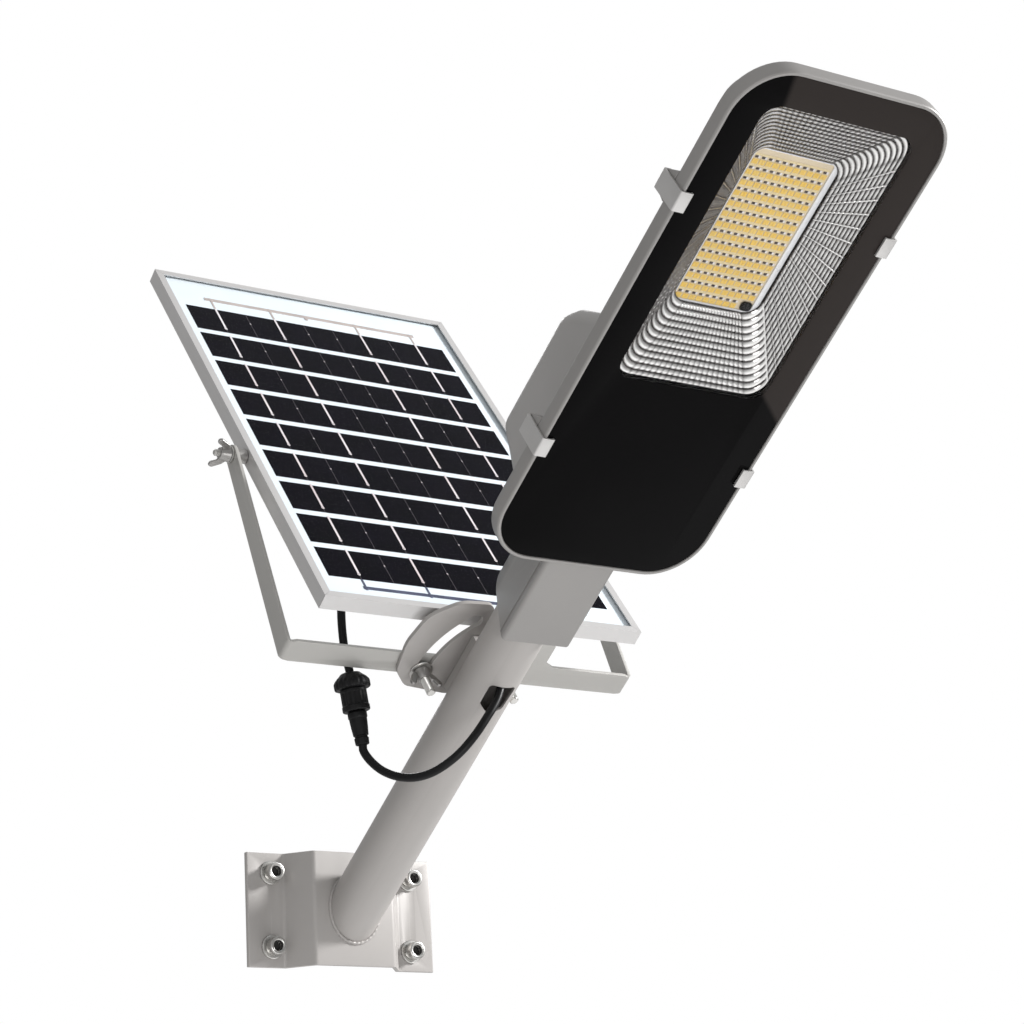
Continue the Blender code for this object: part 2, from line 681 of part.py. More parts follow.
panel_route = [at(GLAND, 0, 0, 4), at(GLAND, 0, 0, 18), at(GLAND, 0, -0.4, 27)]
panel_route += [(-108.9, -207.2, 251), (-108.8, -207.4, 238), (-108.7, -206.9, 225),
                (-108.4, -206.3, 211), (-107.3, -206.0, 196), (-105.4, -206.0, 182),
                at(CONNECTOR, 0, 0, 0), at(CONNECTOR, 0, 0, 12)]
panel_lead = lead("panel_lead", panel_route)
lamp_route = [at(CONNECTOR, 0, 0, 51), at(CONNECTOR, 0, 0, 62), at(CONNECTOR, 0, 0, 68),
              (-89.4, -215.5, 90.0), (-83.4, -224.5, 80.8), (-75.0, -236.5, 74.4),
              (-65.6, -249.5, 72.6), (-55.6, -263.0, 76.4), (-43.0, -275.6, 87.4),
              (-30.8, -283.2, 102.4), (-18.4, -286.0, 119.6), (-9.0, -285.4, 132.6),
              (-3.2, -284.0, 143.6), (0.4, -283.0, 154.0), at(ARM, 1, 318, 6), at(ARM, 0, 345, 0)]
lamp_lead = lead("lamp_lead", lamp_route)
carry(yoke_axis, panel_lead)

# ---------------------------------------------------------------- lamp housing
rim = flat(
    "lamp_housing",
    [rectangle(-RIM_HALF_WIDTH, RIM_HALF_WIDTH, RIM_LOW, RIM_HIGH, 45.5, 6)],
    RIM_BACK, RIM_FRONT, ARM)
shell = tapered(
    "housing_shell",
    [(80, 462, 874, 26, SHELL_BACK), (95, 444.7, 893.8, 39, RIM_BACK + 0.5)], ARM)
neck_section = [(-SOCKET_HALF_WIDTH, -SOCKET_FRONT), (SOCKET_HALF_WIDTH, -SOCKET_FRONT),
                (SOCKET_HALF_WIDTH, 34), (-SOCKET_HALF_WIDTH, 34)]
neck = flat("housing_neck", [rounded(neck_section, [4, 4, 28, 28], 6)], 330, 470, TUBE)
slant = [(300, 60), (334, 60), (401, -65), (300, -65)]
cut(neck, flat("neck_slant", [slant], -60, 60, SIDE))
join(rim, shell, neck)
for number in range(9):
    x = 14.0 * (number - 4)
    join(rim, block(f"cooling_fin_{number}", (x - 1.5, x + 1.5), (664, 862), (-16, -5), ARM))
for number, (sign, a) in enumerate(((-1, CLIP_A[0]), (1, CLIP_A[0]), (-1, CLIP_A[1]), (1, CLIP_A[1]))):
    wedge = [(a - 9, 5), (a + 9, 5), (a + 16, RIM_BACK + 1), (a - 12, RIM_BACK + 1)]
    sides = sorted((sign * 86, sign * (RIM_HALF_WIDTH - 0.2)))
    join(rim, flat(f"clip_anchor_{number}", [wedge], sides[0], sides[1], SIDE))
cut(rim,
    flat("glass_recess", [rectangle(-98.3, 98.3, 441.7, 896.8, 42.3, 6)], LEDGE, 40, ARM),
    tapered("housing_cavity", [(79, 466, 870, 24, FLOOR), (91, 449, 889.5, 35, LEDGE + 1)], ARM),
    bar("socket_bore", TUBE_RADIUS + GAP, 300, TUBE_END + 2, TUBE, 40),
    bar("lead_passage", 7, 420, 480, frame(at(ARM, 0, 0, 11), ALONG, X)),
    bar("battery_passage", 6, -20, 10, along_arm(30, 500)))
join(rim, block("led_pad", (-38, 38), (687.5, 822.5), (FLOOR - 1, FLOOR + 1), ARM))
for number, a in enumerate((397, 421)):
    cut(rim, bar(f"socket_screw_hole_{number}", 4.3, 20, 45, along_arm(0, a, 0, -FACING)))
for number, (x, a) in enumerate(COVER_POSTS):
    cut(rim, bar(f"cover_screw_hole_{number}", 2.2, -1, 20, along_arm(x, a, 0, -FACING)))
finish(rim, CASTING)

for number, a in enumerate((397, 421), 1):
    spot = along_arm(0, a, 0, -FACING)
    grub = turned(
        f"socket_screw_{number}",
        [(0, 38), (3.4, 38), (4, 37.4), (4, 26.2), (3.2, 25.4), (0, 25.4)], 20, spot)
    finish(cut(grub, hexagon(f"socket_screw_recess_{number}", 4, 34, 40, spot)), DARK_STEEL)

# ---------------------------------------------------------------- front glass and optics
glass_loop = rectangle(-GLASS_HALF_WIDTH, GLASS_HALF_WIDTH, GLASS_LOW, GLASS_HIGH, 42, 6)
finish(flat("front_glass", [glass_loop], GLASS_BACK, GLASS_FRONT, ARM), BLACK_GLASS)
gasket_loops = [rectangle(-97.5, 97.5, 442.5, 896, 41.5, 6), rectangle(-92, 92, 448, 890.5, 36, 6)]
finish(flat("glass_gasket", gasket_loops, LEDGE + GAP, GLASS_BACK - GAP, ARM), RUBBER)

REFLECTOR_STEPS = 8
REFLECTOR_TOP = 28.2
REFLECTOR_BOTTOM = 8.2


def reflector_level(t, grow, height):
    """The reflector's outline at t, from 0 at the window to 1 at the light board."""
    half = WINDOW_HALF_WIDTH + t * (BOARD_HALF_WIDTH + 1.2 - WINDOW_HALF_WIDTH) + grow
    low = WINDOW_LOW + t * (BOARD_LOW - 1.2 - WINDOW_LOW) - grow
    high = WINDOW_HIGH + t * (BOARD_HIGH + 1.2 - WINDOW_HIGH) + grow
    outline = rectangle(-half, half, low, high, 7 - 4 * t + max(grow, 0), 3)
    return [(x, y, height) for x, y in outline]


reflector_drop = (REFLECTOR_TOP - REFLECTOR_BOTTOM) / REFLECTOR_STEPS
levels = [reflector_level(0, 9, REFLECTOR_TOP), reflector_level(0, 0, REFLECTOR_TOP)]
for step in range(REFLECTOR_STEPS):
    height = REFLECTOR_TOP - reflector_drop * (step + 1)
    levels.append(reflector_level(step / REFLECTOR_STEPS, 0, height))
    levels.append(reflector_level((step + 1) / REFLECTOR_STEPS, 0, height))
levels.append(reflector_level(1, 0, FLOOR + GAP))
levels.append(reflector_level(1, 1.6, FLOOR + GAP))
levels.append(reflector_level(1, 1.6, REFLECTOR_BOTTOM - 1.6))
levels.append(reflector_level(0, 3.0, REFLECTOR_TOP - reflector_drop - 1.0))
levels.append(reflector_level(0, 3.0, REFLECTOR_TOP - 1.2))
levels.append(reflector_level(0, 9, REFLECTOR_TOP - 1.2))
finish(loft("reflector", levels, ARM, ring=True), MIRROR)

board = block(
    "led_board", (-BOARD_HALF_WIDTH, BOARD_HALF_WIDTH), (BOARD_LOW, BOARD_HIGH),
    (FLOOR + 1 + GAP, BOARD_FRONT), ARM)
for row in range(14):
    a = 698 + 9.1 * row
    height = (BOARD_FRONT - 1, BOARD_FRONT + 1.5)
    join(board, block(f"led_row_{row}", (-35, 33), (a - 2.3, a + 2.3), height, ARM))
finish(board, LED_YELLOW)
sensor = turned(
    "light_sensor",
    [(0, BOARD_FRONT + 3.6), (1.6, BOARD_FRONT + 3.2), (2.8, BOARD_FRONT + 2.0),
     (3.2, BOARD_FRONT + GAP), (0, BOARD_FRONT + GAP)],
    20, along_arm(34.4, 690.6))
finish(sensor, BLACK_PLASTIC)

# ---------------------------------------------------------------- battery compartment
cover_profile = [(471, 10), (474, SHELL_BACK), (498, -65), (609.6, -65), (624.5, -51.6),
                 (640.5, -25), (651, SHELL_BACK), (656, 10)]
inner_profile = [(473, 14), (477.5, SHELL_BACK), (500, -62.5), (608.6, -62.5), (622.5, -49.8),
                 (638, -24), (647.5, SHELL_BACK), (653, 14)]
cover = flat("battery_cover", [cover_profile], -COVER_HALF_WIDTH, COVER_HALF_WIDTH, SIDE)
round_edges(cover, 5.0, 3)
inner_half = COVER_HALF_WIDTH - COVER_WALL
cut(cover, flat("cover_space", [inner_profile], -inner_half, inner_half, SIDE))
for number, (x, a) in enumerate(COVER_POSTS, 1):
    spot = along_arm(x, a, 0, -FACING)
    join(cover, bar(f"cover_post_{number}", 5, -20, 64, spot, 14))
    cap_screw(f"cover_screw_{number}", 1.9, 4.2, (65.3, 68.3), 1.0, 3.0, spot, 12)
cut(cover, block("cover_trim", (-100, 100), (460, 670), (SHELL_BACK - GAP, 40), ARM))
for number, (x, a) in enumerate(COVER_POSTS, 1):
    cut(cover, bar(f"cover_post_hole_{number}", 2.2, 0, 70, along_arm(x, a, 0, -FACING), 12))
finish(cover, CASTING)
pack = flat("battery_pack", [rectangle(-51, 51, -62.1, -34, 13, 5)], 504, 606, frame(
    ROOT_POINT, ALONG, -X))
finish(pack, BATTERY_WRAP)
control = flat("control_board", [rectangle(-50, 50, 522, 588, 3, 3)], -8.4, SHELL_BACK - GAP - 0.2, ARM)
finish(control, CIRCUIT)

# ---------------------------------------------------------------- glass clips
clip_section = [(96.8, 3.2), (103.6, 3.2), (103.6, 35.6), (92, 35.6), (92, 33.1), (93.6, 33.1),
                (93.6, 34.1), (101.9, 34.1), (101.9, 4.7), (96.8, 4.7)]
for number, (sign, a) in enumerate(((-1, CLIP_A[0]), (1, CLIP_A[0]), (-1, CLIP_A[1]), (1, CLIP_A[1])), 1):
    section = [(sign * x, -n) for x, n in clip_section]
    clip = flat(f"glass_clip_{number}", [section], a - 8.5, a + 8.5, TUBE)
    finish(clip, ALUMINIUM)
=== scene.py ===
import math

import bmesh
import bpy
from mathutils import Matrix, Vector


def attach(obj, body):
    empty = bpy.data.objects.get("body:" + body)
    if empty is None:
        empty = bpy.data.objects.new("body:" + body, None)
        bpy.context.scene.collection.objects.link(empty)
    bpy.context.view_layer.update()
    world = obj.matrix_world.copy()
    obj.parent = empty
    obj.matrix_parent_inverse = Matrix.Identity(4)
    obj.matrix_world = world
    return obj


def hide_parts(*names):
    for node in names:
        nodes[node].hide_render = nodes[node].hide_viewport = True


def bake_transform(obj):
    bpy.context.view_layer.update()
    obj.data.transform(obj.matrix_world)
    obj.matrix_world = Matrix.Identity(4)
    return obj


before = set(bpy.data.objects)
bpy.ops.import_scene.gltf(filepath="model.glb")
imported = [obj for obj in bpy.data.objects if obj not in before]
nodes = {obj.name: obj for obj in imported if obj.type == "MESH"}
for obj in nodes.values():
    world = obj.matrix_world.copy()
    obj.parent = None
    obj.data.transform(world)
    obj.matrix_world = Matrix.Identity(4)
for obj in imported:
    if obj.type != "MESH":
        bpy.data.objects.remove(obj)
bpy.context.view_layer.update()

MM = 0.001
FINE_MERGE = 0.000001

# ---------------------------------------------------------------- frames, as in the CAD
HAT_DEPTH = 28.0
X = Vector((1, 0, 0))
SLOPE = math.radians(34)
ALONG = Vector((0, -math.cos(SLOPE), math.sin(SLOPE)))
FACING = X.cross(ALONG)
PIVOT_X, PIVOT_A = 42.0, 257.0
PLATE_FRONT, PLATE_BACK = -33.0, -37.0
STRAP_FRONT, STRAP_BACK = -37.3, -40.3
TILT_A, TILT_N = 300.1, -245.7
YOKE_HALF_WIDTH = 174.5
PANEL_TILT = math.radians(53)
PANEL_DOWN = Vector((0, -math.cos(PANEL_TILT), -math.sin(PANEL_TILT)))


def placed(origin, z_axis, x_axis):
    z = Vector(z_axis).normalized()
    x = Vector(x_axis)
    x = (x - z * x.dot(z)).normalized()
    matrix = Matrix((x, z.cross(x), z)).transposed().to_4x4()
    matrix.translation = Vector(origin) * MM
    return matrix


def at(place, x, y, z):
    return place @ (Vector((x, y, z)) * MM) / MM


FOOT = Vector((0, -HAT_DEPTH, 0))
WORLD = Matrix.Identity(4)
ARM = placed(FOOT, FACING, X)
TUBE = placed(FOOT, ALONG, X)
SIDE = placed(FOOT, X, ALONG)
TILT_POINT = at(ARM, 0, TILT_A, TILT_N)
PANEL = placed(TILT_POINT, X.cross(-PANEL_DOWN), X)
CONNECTOR = placed((-102.1, -206.5, 167.3), (0.134, -0.039, -0.990), X)
GLAND = placed(at(PANEL, -109, -96.3, -12), PANEL_DOWN, X)


def arm_spot(x, a, n=0.0, facing=FACING):
    return placed(at(ARM, x, a, n), facing, X if abs(Vector(facing).x) < 0.5 else ALONG)


# ---------------------------------------------------------------- camera
SENSOR_WIDTH, IMAGE_WIDTH, FOCAL_LENGTH = 36, 1024, 2678.32
CAMERA_SPOT = Vector((-1224.66, -2097.04, -366.14))
YAW, PITCH, ROLL = math.radians(-34.446), math.radians(-16.914), math.radians(-3.158)
back = Vector((math.sin(YAW) * math.cos(PITCH), -math.cos(YAW) * math.cos(PITCH), math.sin(PITCH)))
level = Vector((math.cos(YAW), math.sin(YAW), 0))
rise = back.cross(level)
right = level * math.cos(ROLL) + rise * math.sin(ROLL)
up = rise * math.cos(ROLL) - level * math.sin(ROLL)
camera_data = bpy.data.cameras.new("camera")
camera_data.sensor_width = SENSOR_WIDTH
camera_data.lens = SENSOR_WIDTH * FOCAL_LENGTH / IMAGE_WIDTH
camera_data.clip_end = 50
camera = bpy.data.objects.new("camera", camera_data)
bpy.context.scene.collection.objects.link(camera)
camera.matrix_world = Matrix((right, up, back)).transposed().to_4x4()
camera.location = CAMERA_SPOT * MM
bpy.context.scene.camera = camera

# ---------------------------------------------------------------- outlines and solids


def arc(centre, radius, start, end, steps):
    turn = [math.radians(start + (end - start) * i / steps) for i in range(steps + 1)]
    return [(centre[0] + radius * math.cos(t), centre[1] + radius * math.sin(t)) for t in turn]


def rounded(corners, radius, steps=8):
    radii = radius if isinstance(radius, (list, tuple)) else [radius] * len(corners)
    outline = []
    for i, corner in enumerate(corners):
        here = Vector(corner)
        if radii[i] == 0:
            outline.append(tuple(here))
            continue
        behind = (Vector(corners[i - 1]) - here).normalized()
        ahead = (Vector(corners[(i + 1) % len(corners)]) - here).normalized()
        half = behind.angle(ahead) / 2
        centre = here + (behind + ahead).normalized() * (radii[i] / math.sin(half))
        first = here + behind * (radii[i] / math.tan(half)) - centre
        last = here + ahead * (radii[i] / math.tan(half)) - centre
        start = math.degrees(math.atan2(first.y, first.x))
        sweep = (math.degrees(math.atan2(last.y, last.x)) - start + 180) % 360 - 180
        outline += arc(centre, radii[i], start, start + sweep, steps)
    return outline


def rectangle(x0, x1, y0, y1, radius=0.0, steps=8):
    corners = [(x0, y0), (x1, y0), (x1, y1), (x0, y1)]
    return rounded(corners, radius, steps) if radius else corners


def arc_slot(centre, radius, width, start, end, steps=24):
    half = width / 2
    start_point = arc(centre, radius, start, start, 1)[0]
    end_point = arc(centre, radius, end, end, 1)[0]
    outline = arc(centre, radius + half, start, end, steps)
    outline += arc(end_point, half, end, end - 180, 10)[1:-1]
    outline += arc(centre, radius - half, end, start, steps)
    outline += arc(start_point, half, start + 180, start, 10)[1:-1]
    return outline


def add_object(name, mesh, place):
    obj = bpy.data.objects.new(name, mesh)
    bpy.context.scene.collection.objects.link(obj)
    obj.matrix_world = place
    return obj


def evaluated_mesh(obj):
    bpy.context.view_layer.update()
    graph = bpy.context.evaluated_depsgraph_get()
    return bpy.data.meshes.new_from_object(obj.evaluated_get(graph))


def bake(obj):
    mesh = evaluated_mesh(obj)
    obj.modifiers.clear()
    obj.data = mesh
    return obj


def weld(mesh, distance=2 * FINE_MERGE, dissolve=True):
    """Merge points that coincide, and where wanted the flat faces between them."""
    work = bmesh.new()
    work.from_mesh(mesh)
    bmesh.ops.remove_doubles(work, verts=work.verts, dist=distance)
    if dissolve:
        bmesh.ops.dissolve_limit(work, angle_limit=0.0008, verts=work.verts, edges=work.edges)
    bmesh.ops.recalc_face_normals(work, faces=work.faces)
    work.to_mesh(mesh)
    work.free()


def smooth(obj, angle=35):
    obj.data.shade_smooth()
    obj.data.set_sharp_from_angle(angle=math.radians(angle))
    return obj


def bevelled(obj, width, segments=3, angle=40):
    modifier = obj.modifiers.new("Bevel", "BEVEL")
    modifier.width = width * MM
    modifier.segments = segments
    modifier.limit_method = "ANGLE"
    modifier.angle_limit = math.radians(angle)
    return smooth(bake(obj), 50)


def flat(name, loops, low, high, place, bevel=0.0, segments=3):
    curve = bpy.data.curves.new(name, "CURVE")
    curve.dimensions = "2D"
    curve.fill_mode = "BOTH"
    curve.extrude = (high - low) / 2 * MM
    for loop in loops:
        spline = curve.splines.new("POLY")
        spline.points.add(len(loop) - 1)
        for point, (x, y) in zip(spline.points, loop):
            point.co = (x * MM, y * MM, 0, 1)
        spline.use_cyclic_u = True
    source = add_object(name + "_curve", curve, place)
    mesh = evaluated_mesh(source)
    mesh.transform(Matrix.Translation((0, 0, (low + high) / 2 * MM)))
    weld(mesh)
    bpy.data.objects.remove(source, do_unlink=True)
    obj = smooth(add_object(name, mesh, place))
    return bevelled(obj, bevel, segments) if bevel else obj


def turned(name, profile, steps, place, ring=False):
    mesh = bpy.data.meshes.new(name)
    edges = [(i, i + 1) for i in range(len(profile) - 1)]
    if ring:
        edges.append((len(profile) - 1, 0))
    mesh.from_pydata([(r * MM, 0, z * MM) for r, z in profile], edges, [])
    obj = add_object(name, mesh, place)
    screw = obj.modifiers.new("Turn", "SCREW")
    screw.steps = steps
    screw.render_steps = steps
    screw.use_merge_vertices = True
    screw.merge_threshold = 0.00001
    bake(obj)
    weld(obj.data, FINE_MERGE, dissolve=False)
    return smooth(obj, 30)


def bar(name, radius, low, high, place, steps=64):
    return turned(name, [(0, high), (radius, high), (radius, low), (0, low)], steps, place)


def block(name, x, y, z, place, bevel=0.0):
    mesh = bpy.data.meshes.new(name)
    work = bmesh.new()
    bmesh.ops.create_cube(work, size=1.0)
    size = Vector((x[1] - x[0], y[1] - y[0], z[1] - z[0])) * MM
    middle = Vector((x[1] + x[0], y[1] + y[0], z[1] + z[0])) * MM / 2
    bmesh.ops.scale(work, vec=size, verts=work.verts)
    bmesh.ops.translate(work, vec=middle, verts=work.verts)
    work.to_mesh(mesh)
    work.free()
    obj = add_object(name, mesh, place)
    return bevelled(obj, bevel) if bevel else obj


def loft(name, sections, place, ring=False):
    mesh = bpy.data.meshes.new(name)
    work = bmesh.new()
    rows = [[work.verts.new(Vector(p) * MM) for p in section] for section in sections]
    pairs = list(zip(rows, rows[1:]))
    if ring:
        pairs.append((rows[-1], rows[0]))
    else:
        work.faces.new(rows[0])
        work.faces.new(rows[-1])
    for lower, upper in pairs:
        for i in range(len(lower)):
            j = (i + 1) % len(lower)
            work.faces.new((lower[i], lower[j], upper[j], upper[i]))
    bmesh.ops.recalc_face_normals(work, faces=work.faces)
    work.to_mesh(mesh)
    work.free()
    return smooth(add_object(name, mesh, place))


def tapered(name, levels, place, steps=14):
    sections = []
    for half, low, high, radius, height in levels:
        sections.append([(x, y, height) for x, y in rectangle(-half, half, low, high, radius, steps)])
    return loft(name, sections, place)


def combine(obj, operation, others):
    for other in others:
        bpy.context.view_layer.update()
        modifier = obj.modifiers.new("Boolean", "BOOLEAN")
        modifier.operation = operation
        modifier.solver = "EXACT"
        modifier.object = other
        bake(obj)
        bpy.data.objects.remove(other, do_unlink=True)
    return smooth(obj, 38)


def cut(obj, *others):
    return combine(obj, "DIFFERENCE", others)


def join(obj, *others):
    return combine(obj, "UNION", others)


# ---------------------------------------------------------------- materials


def noise(tree, vector, scale, detail):
    node = tree.nodes.new("ShaderNodeTexNoise")
    node.inputs["Scale"].default_value = scale
    node.inputs["Detail"].default_value = detail
    tree.links.new(vector, node.inputs["Vector"])
    return node.outputs["Fac"]


def ranged(tree, value, low, high, first=0.0, last=1.0, easing="LINEAR"):
    """Map a value from between first and last to between low and high."""
    node = tree.nodes.new("ShaderNodeMapRange")
    node.interpolation_type = easing
    for name, number in (("From Min", first), ("From Max", last), ("To Min", low), ("To Max", high)):
        node.inputs[name].default_value = number
    tree.links.new(value, node.inputs["Value"])
    return node.outputs["Result"]


def mixed(tree, factor, first, second):
    """Blend two colours, each given as numbers or as another node's output."""
    node = tree.nodes.new("ShaderNodeMixRGB")
    tree.links.new(factor, node.inputs["Fac"])
    for name, colour in (("Color1", first), ("Color2", second)):
        if isinstance(colour, bpy.types.NodeSocket):
            tree.links.new(colour, node.inputs[name])
        else:
            node.inputs[name].default_value = (*colour, 1)
    return node.outputs["Color"]


def surface(name, colour, roughness, metallic=0.0, tint=0.06, patch=14.0, grain=900.0, bump=0.12,
            depth=0.0002, spread=0.08, coat=0.0, specular=0.5, wear=0.0, brushed=None, second=None):
    """A procedural finish: mottled colour, uneven roughness, a fine grain in the bump, worn edges."""
    material = bpy.data.materials.new(name)
    material.use_nodes = True
    tree = material.node_tree
    shader = tree.nodes["Principled BSDF"]
    shader.inputs["Metallic"].default_value = metallic
    shader.inputs["Specular IOR Level"].default_value = specular
    shader.inputs["Coat Weight"].default_value = coat
    shader.inputs["Coat Roughness"].default_value = 0.08
    vector = tree.nodes.new("ShaderNodeTexCoord").outputs["Object"]
    fine_vector = vector
    if brushed:
        mapping = tree.nodes.new("ShaderNodeMapping")
        mapping.inputs["Scale"].default_value = brushed
        tree.links.new(vector, mapping.inputs["Vector"])
        fine_vector = mapping.outputs["Vector"]
    broad = noise(tree, vector, patch, 5)
    fine = noise(tree, fine_vector, grain, 3)
    mottle = tree.nodes.new("ShaderNodeMath")
    mottle.operation = "MULTIPLY_ADD"
    mottle.inputs[1].default_value = 0.35
    tree.links.new(fine, mottle.inputs[0])
    tree.links.new(ranged(tree, broad, 0.0, 0.65, 0.3, 0.7), mottle.inputs[2])
    darker = second or [c * (1 - tint) for c in colour]
    lighter = [min(1, c * (1 + tint)) for c in colour]
    colour_out = mixed(tree, mottle.outputs["Value"], darker, lighter)
    if wear:
        geometry = tree.nodes.new("ShaderNodeNewGeometry")
        edge = ranged(tree, geometry.outputs["Pointiness"], 0.0, wear, 0.52, 0.62)
        colour_out = mixed(tree, edge, colour_out, [min(1, c * 1.35 + 0.05) for c in colour])
    tree.links.new(colour_out, shader.inputs["Base Color"])
    uneven = ranged(tree, broad, max(0.02, roughness - spread), min(1, roughness + spread))
    tree.links.new(uneven, shader.inputs["Roughness"])
    ridge = tree.nodes.new("ShaderNodeBump")
    ridge.inputs["Strength"].default_value = bump
    ridge.inputs["Distance"].default_value = depth
    tree.links.new(fine, ridge.inputs["Height"])
    tree.links.new(ridge.outputs["Normal"], shader.inputs["Normal"])
    return material


def clear_glass(name, tint, reflectance):
    """A pane: see-through, with a faint tint and a reflection on its outer face."""
    material = bpy.data.materials.new(name)
    material.use_nodes = True
    tree = material.node_tree
    output = tree.nodes["Material Output"]
    tree.nodes.remove(tree.nodes["Principled BSDF"])
    clear = tree.nodes.new("ShaderNodeBsdfTransparent")
    place = tree.nodes.new("ShaderNodeTexCoord")
    haze = noise(tree, place.outputs["Object"], 22, 4)
    tree.links.new(mixed(tree, haze, tint, (1, 1, 1)), clear.inputs["Color"])
    gloss = tree.nodes.new("ShaderNodeBsdfGlossy")
    gloss.inputs["Color"].default_value = (1, 1, 1, 1)
    tree.links.new(ranged(tree, haze, 0.03, 0.10), gloss.inputs["Roughness"])
    facing = tree.nodes.new("ShaderNodeLayerWeight")
    facing.inputs["Blend"].default_value = 0.25
    geometry = tree.nodes.new("ShaderNodeNewGeometry")
    outside = ranged(tree, geometry.outputs["Backfacing"], reflectance, 0.0)
    amount = tree.nodes.new("ShaderNodeMath")
    amount.operation = "MULTIPLY"
    tree.links.new(facing.outputs["Fresnel"], amount.inputs[0])
    tree.links.new(outside, amount.inputs[1])
    mix = tree.nodes.new("ShaderNodeMixShader")
    tree.links.new(amount.outputs["Value"], mix.inputs["Fac"])
    tree.links.new(clear.outputs["BSDF"], mix.inputs[1])
    tree.links.new(gloss.outputs["BSDF"], mix.inputs[2])
    tree.links.new(mix.outputs["Shader"], output.inputs["Surface"])
    return material


PAINT = surface("powder_coat", (0.415, 0.395, 0.38), 0.42, 0.12, 0.05, 9, 1500, 0.16, 0.00015, wear=0.25)
TUBE_PAINT = surface("tube_coat", (0.40, 0.38, 0.365), 0.38, 0.15, 0.05, 9, 1500, 0.14, 0.00015, wear=0.2)
STRAP_PAINT = surface("strap_coat", (0.43, 0.42, 0.40), 0.40, 0.2, 0.05, 9, 1500, 0.14, 0.00015, wear=0.25)
CAST = surface("cast_coat", (0.30, 0.289, 0.28), 0.40, 0.25, 0.06, 12, 1100, 0.22, 0.0002, wear=0.35)
COVER_CAST = surface("cover_coat", (0.40, 0.388, 0.378), 0.40, 0.2, 0.06, 12, 1100, 0.2, 0.0002, wear=0.3)
ZINC = surface("zinc_steel", (0.55, 0.54, 0.52), 0.30, 1.0, 0.14, 60, 1200, 0.2, 0.0001, 0.12, wear=0.3)
CAST_ZINC = surface("cast_zinc", (0.36, 0.35, 0.34), 0.36, 0.9, 0.2, 90, 1400, 0.35, 0.00015, 0.12, wear=0.5)
RAIL = surface("anodised_rail", (0.56, 0.55, 0.545), 0.36, 0.45, 0.04, 20, 500, 0.12, 0.0001, 0.06,
               brushed=(0.05, 1, 1), wear=0.3)
CLIP = surface("spring_clip", (0.52, 0.51, 0.50), 0.36, 0.6, 0.08, 40, 1300, 0.18, 0.0001, 0.1, wear=0.4)
BLACK_GLASS = surface("printed_glass", (0.0035, 0.0033, 0.0035), 0.05, 0.0, 0.4, 5, 300, 0.01, 0.00005,
                      0.03, specular=0.025)
MIRROR = surface("reflector_metal", (0.84, 0.83, 0.82), 0.16, 1.0, 0.10, 60, 900, 0.06, 0.0001, 0.06)
# painted shade: a near-black finish for the hex recesses of the wall bolts
RECESS_SHADE = surface("painted_recess_shade", (0.03, 0.029, 0.028), 0.5, 0.4, 0.2, 90, 1400, 0.2, 0.0001)
BOARD = surface("cream_board", (0.78, 0.66, 0.48), 0.5, 0.0, 0.05, 60, 1500, 0.1, 0.0001, specular=0.2)
SOLDER = surface("solder_patch", (0.80, 0.76, 0.76), 0.35, 0.3, 0.08, 300, 2500, 0.1, 0.0001)
PHOSPHOR = surface("phosphor", (0.80, 0.50, 0.07), 0.5, 0.0, 0.16, 160, 2500, 0.2, 0.0001,
                   second=(0.84, 0.63, 0.24), specular=0.2)
PACKAGE = surface("chip_package", (0.84, 0.70, 0.42), 0.5, 0.0, 0.05, 300, 2500, 0.1, 0.0001, specular=0.2)
DARK_CHIP = surface("resistor", (0.07, 0.055, 0.05), 0.4, 0.1, 0.3, 400, 2500, 0.1, 0.0001)
WHITE_EDGE = surface("board_edge", (0.82, 0.82, 0.84), 0.3, 0.2, 0.05, 90, 1200, 0.08, 0.0001)
PLASTIC = surface("black_plastic", (0.006, 0.006, 0.0065), 0.42, 0.0, 0.3, 50, 1800, 0.3, 0.00012, 0.1,
                  specular=0.22)
CORD_SKIN = surface("cord_sheath", (0.005, 0.005, 0.0055), 0.38, 0.0, 0.35, 80, 1600, 0.25, 0.0001, 0.1,
                    specular=0.22)
RUBBER = surface("seal_rubber", (0.03, 0.03, 0.03), 0.75, 0.0, 0.2, 40, 900, 0.3, 0.0002)
BACKSHEET = surface("backsheet", (0.80, 0.86, 0.88), 0.5, 0.0, 0.05, 5, 1800, 0.05, 0.00005)
CELL = surface("silicon_cell", (0.0025, 0.0018, 0.0045), 0.20, 0.0, 0.3, 30, 1400, 0.06, 0.00005, 0.08,
               second=(0.0012, 0.0012, 0.002), specular=0.04)
TINNED = surface("tinned_ribbon", (0.93, 0.91, 0.90), 0.42, 0.2, 0.1, 12, 1800, 0.2, 0.0001, 0.1,
                 second=(0.66, 0.52, 0.50))
ROSE_RIBBON = surface("rose_ribbon", (0.66, 0.57, 0.52), 0.36, 0.5, 0.15, 60, 1800, 0.3, 0.0001, 0.1)
BLUE_RIBBON = surface("dark_ribbon", (0.10, 0.11, 0.17), 0.4, 0.5, 0.25, 60, 1800, 0.3, 0.0001, 0.1)
GRID = surface("grid_finger", (0.06, 0.05, 0.055), 0.4, 0.4, 0.2, 200, 1800, 0.1, 0.0001, 0.1)
CIRCUIT = surface("circuit_board", (0.02, 0.16, 0.05), 0.4, 0.0, 0.2, 150, 900, 0.2, 0.0001)
WRAP = surface("battery_wrap", (0.04, 0.13, 0.38), 0.35, 0.0, 0.12, 30, 700, 0.1, 0.0001)
CLEAR = clear_glass("window_pane", (0.95, 0.95, 0.95), 0.25)
PANE = clear_glass("panel_pane", (0.97, 0.98, 1.0), 0.02)


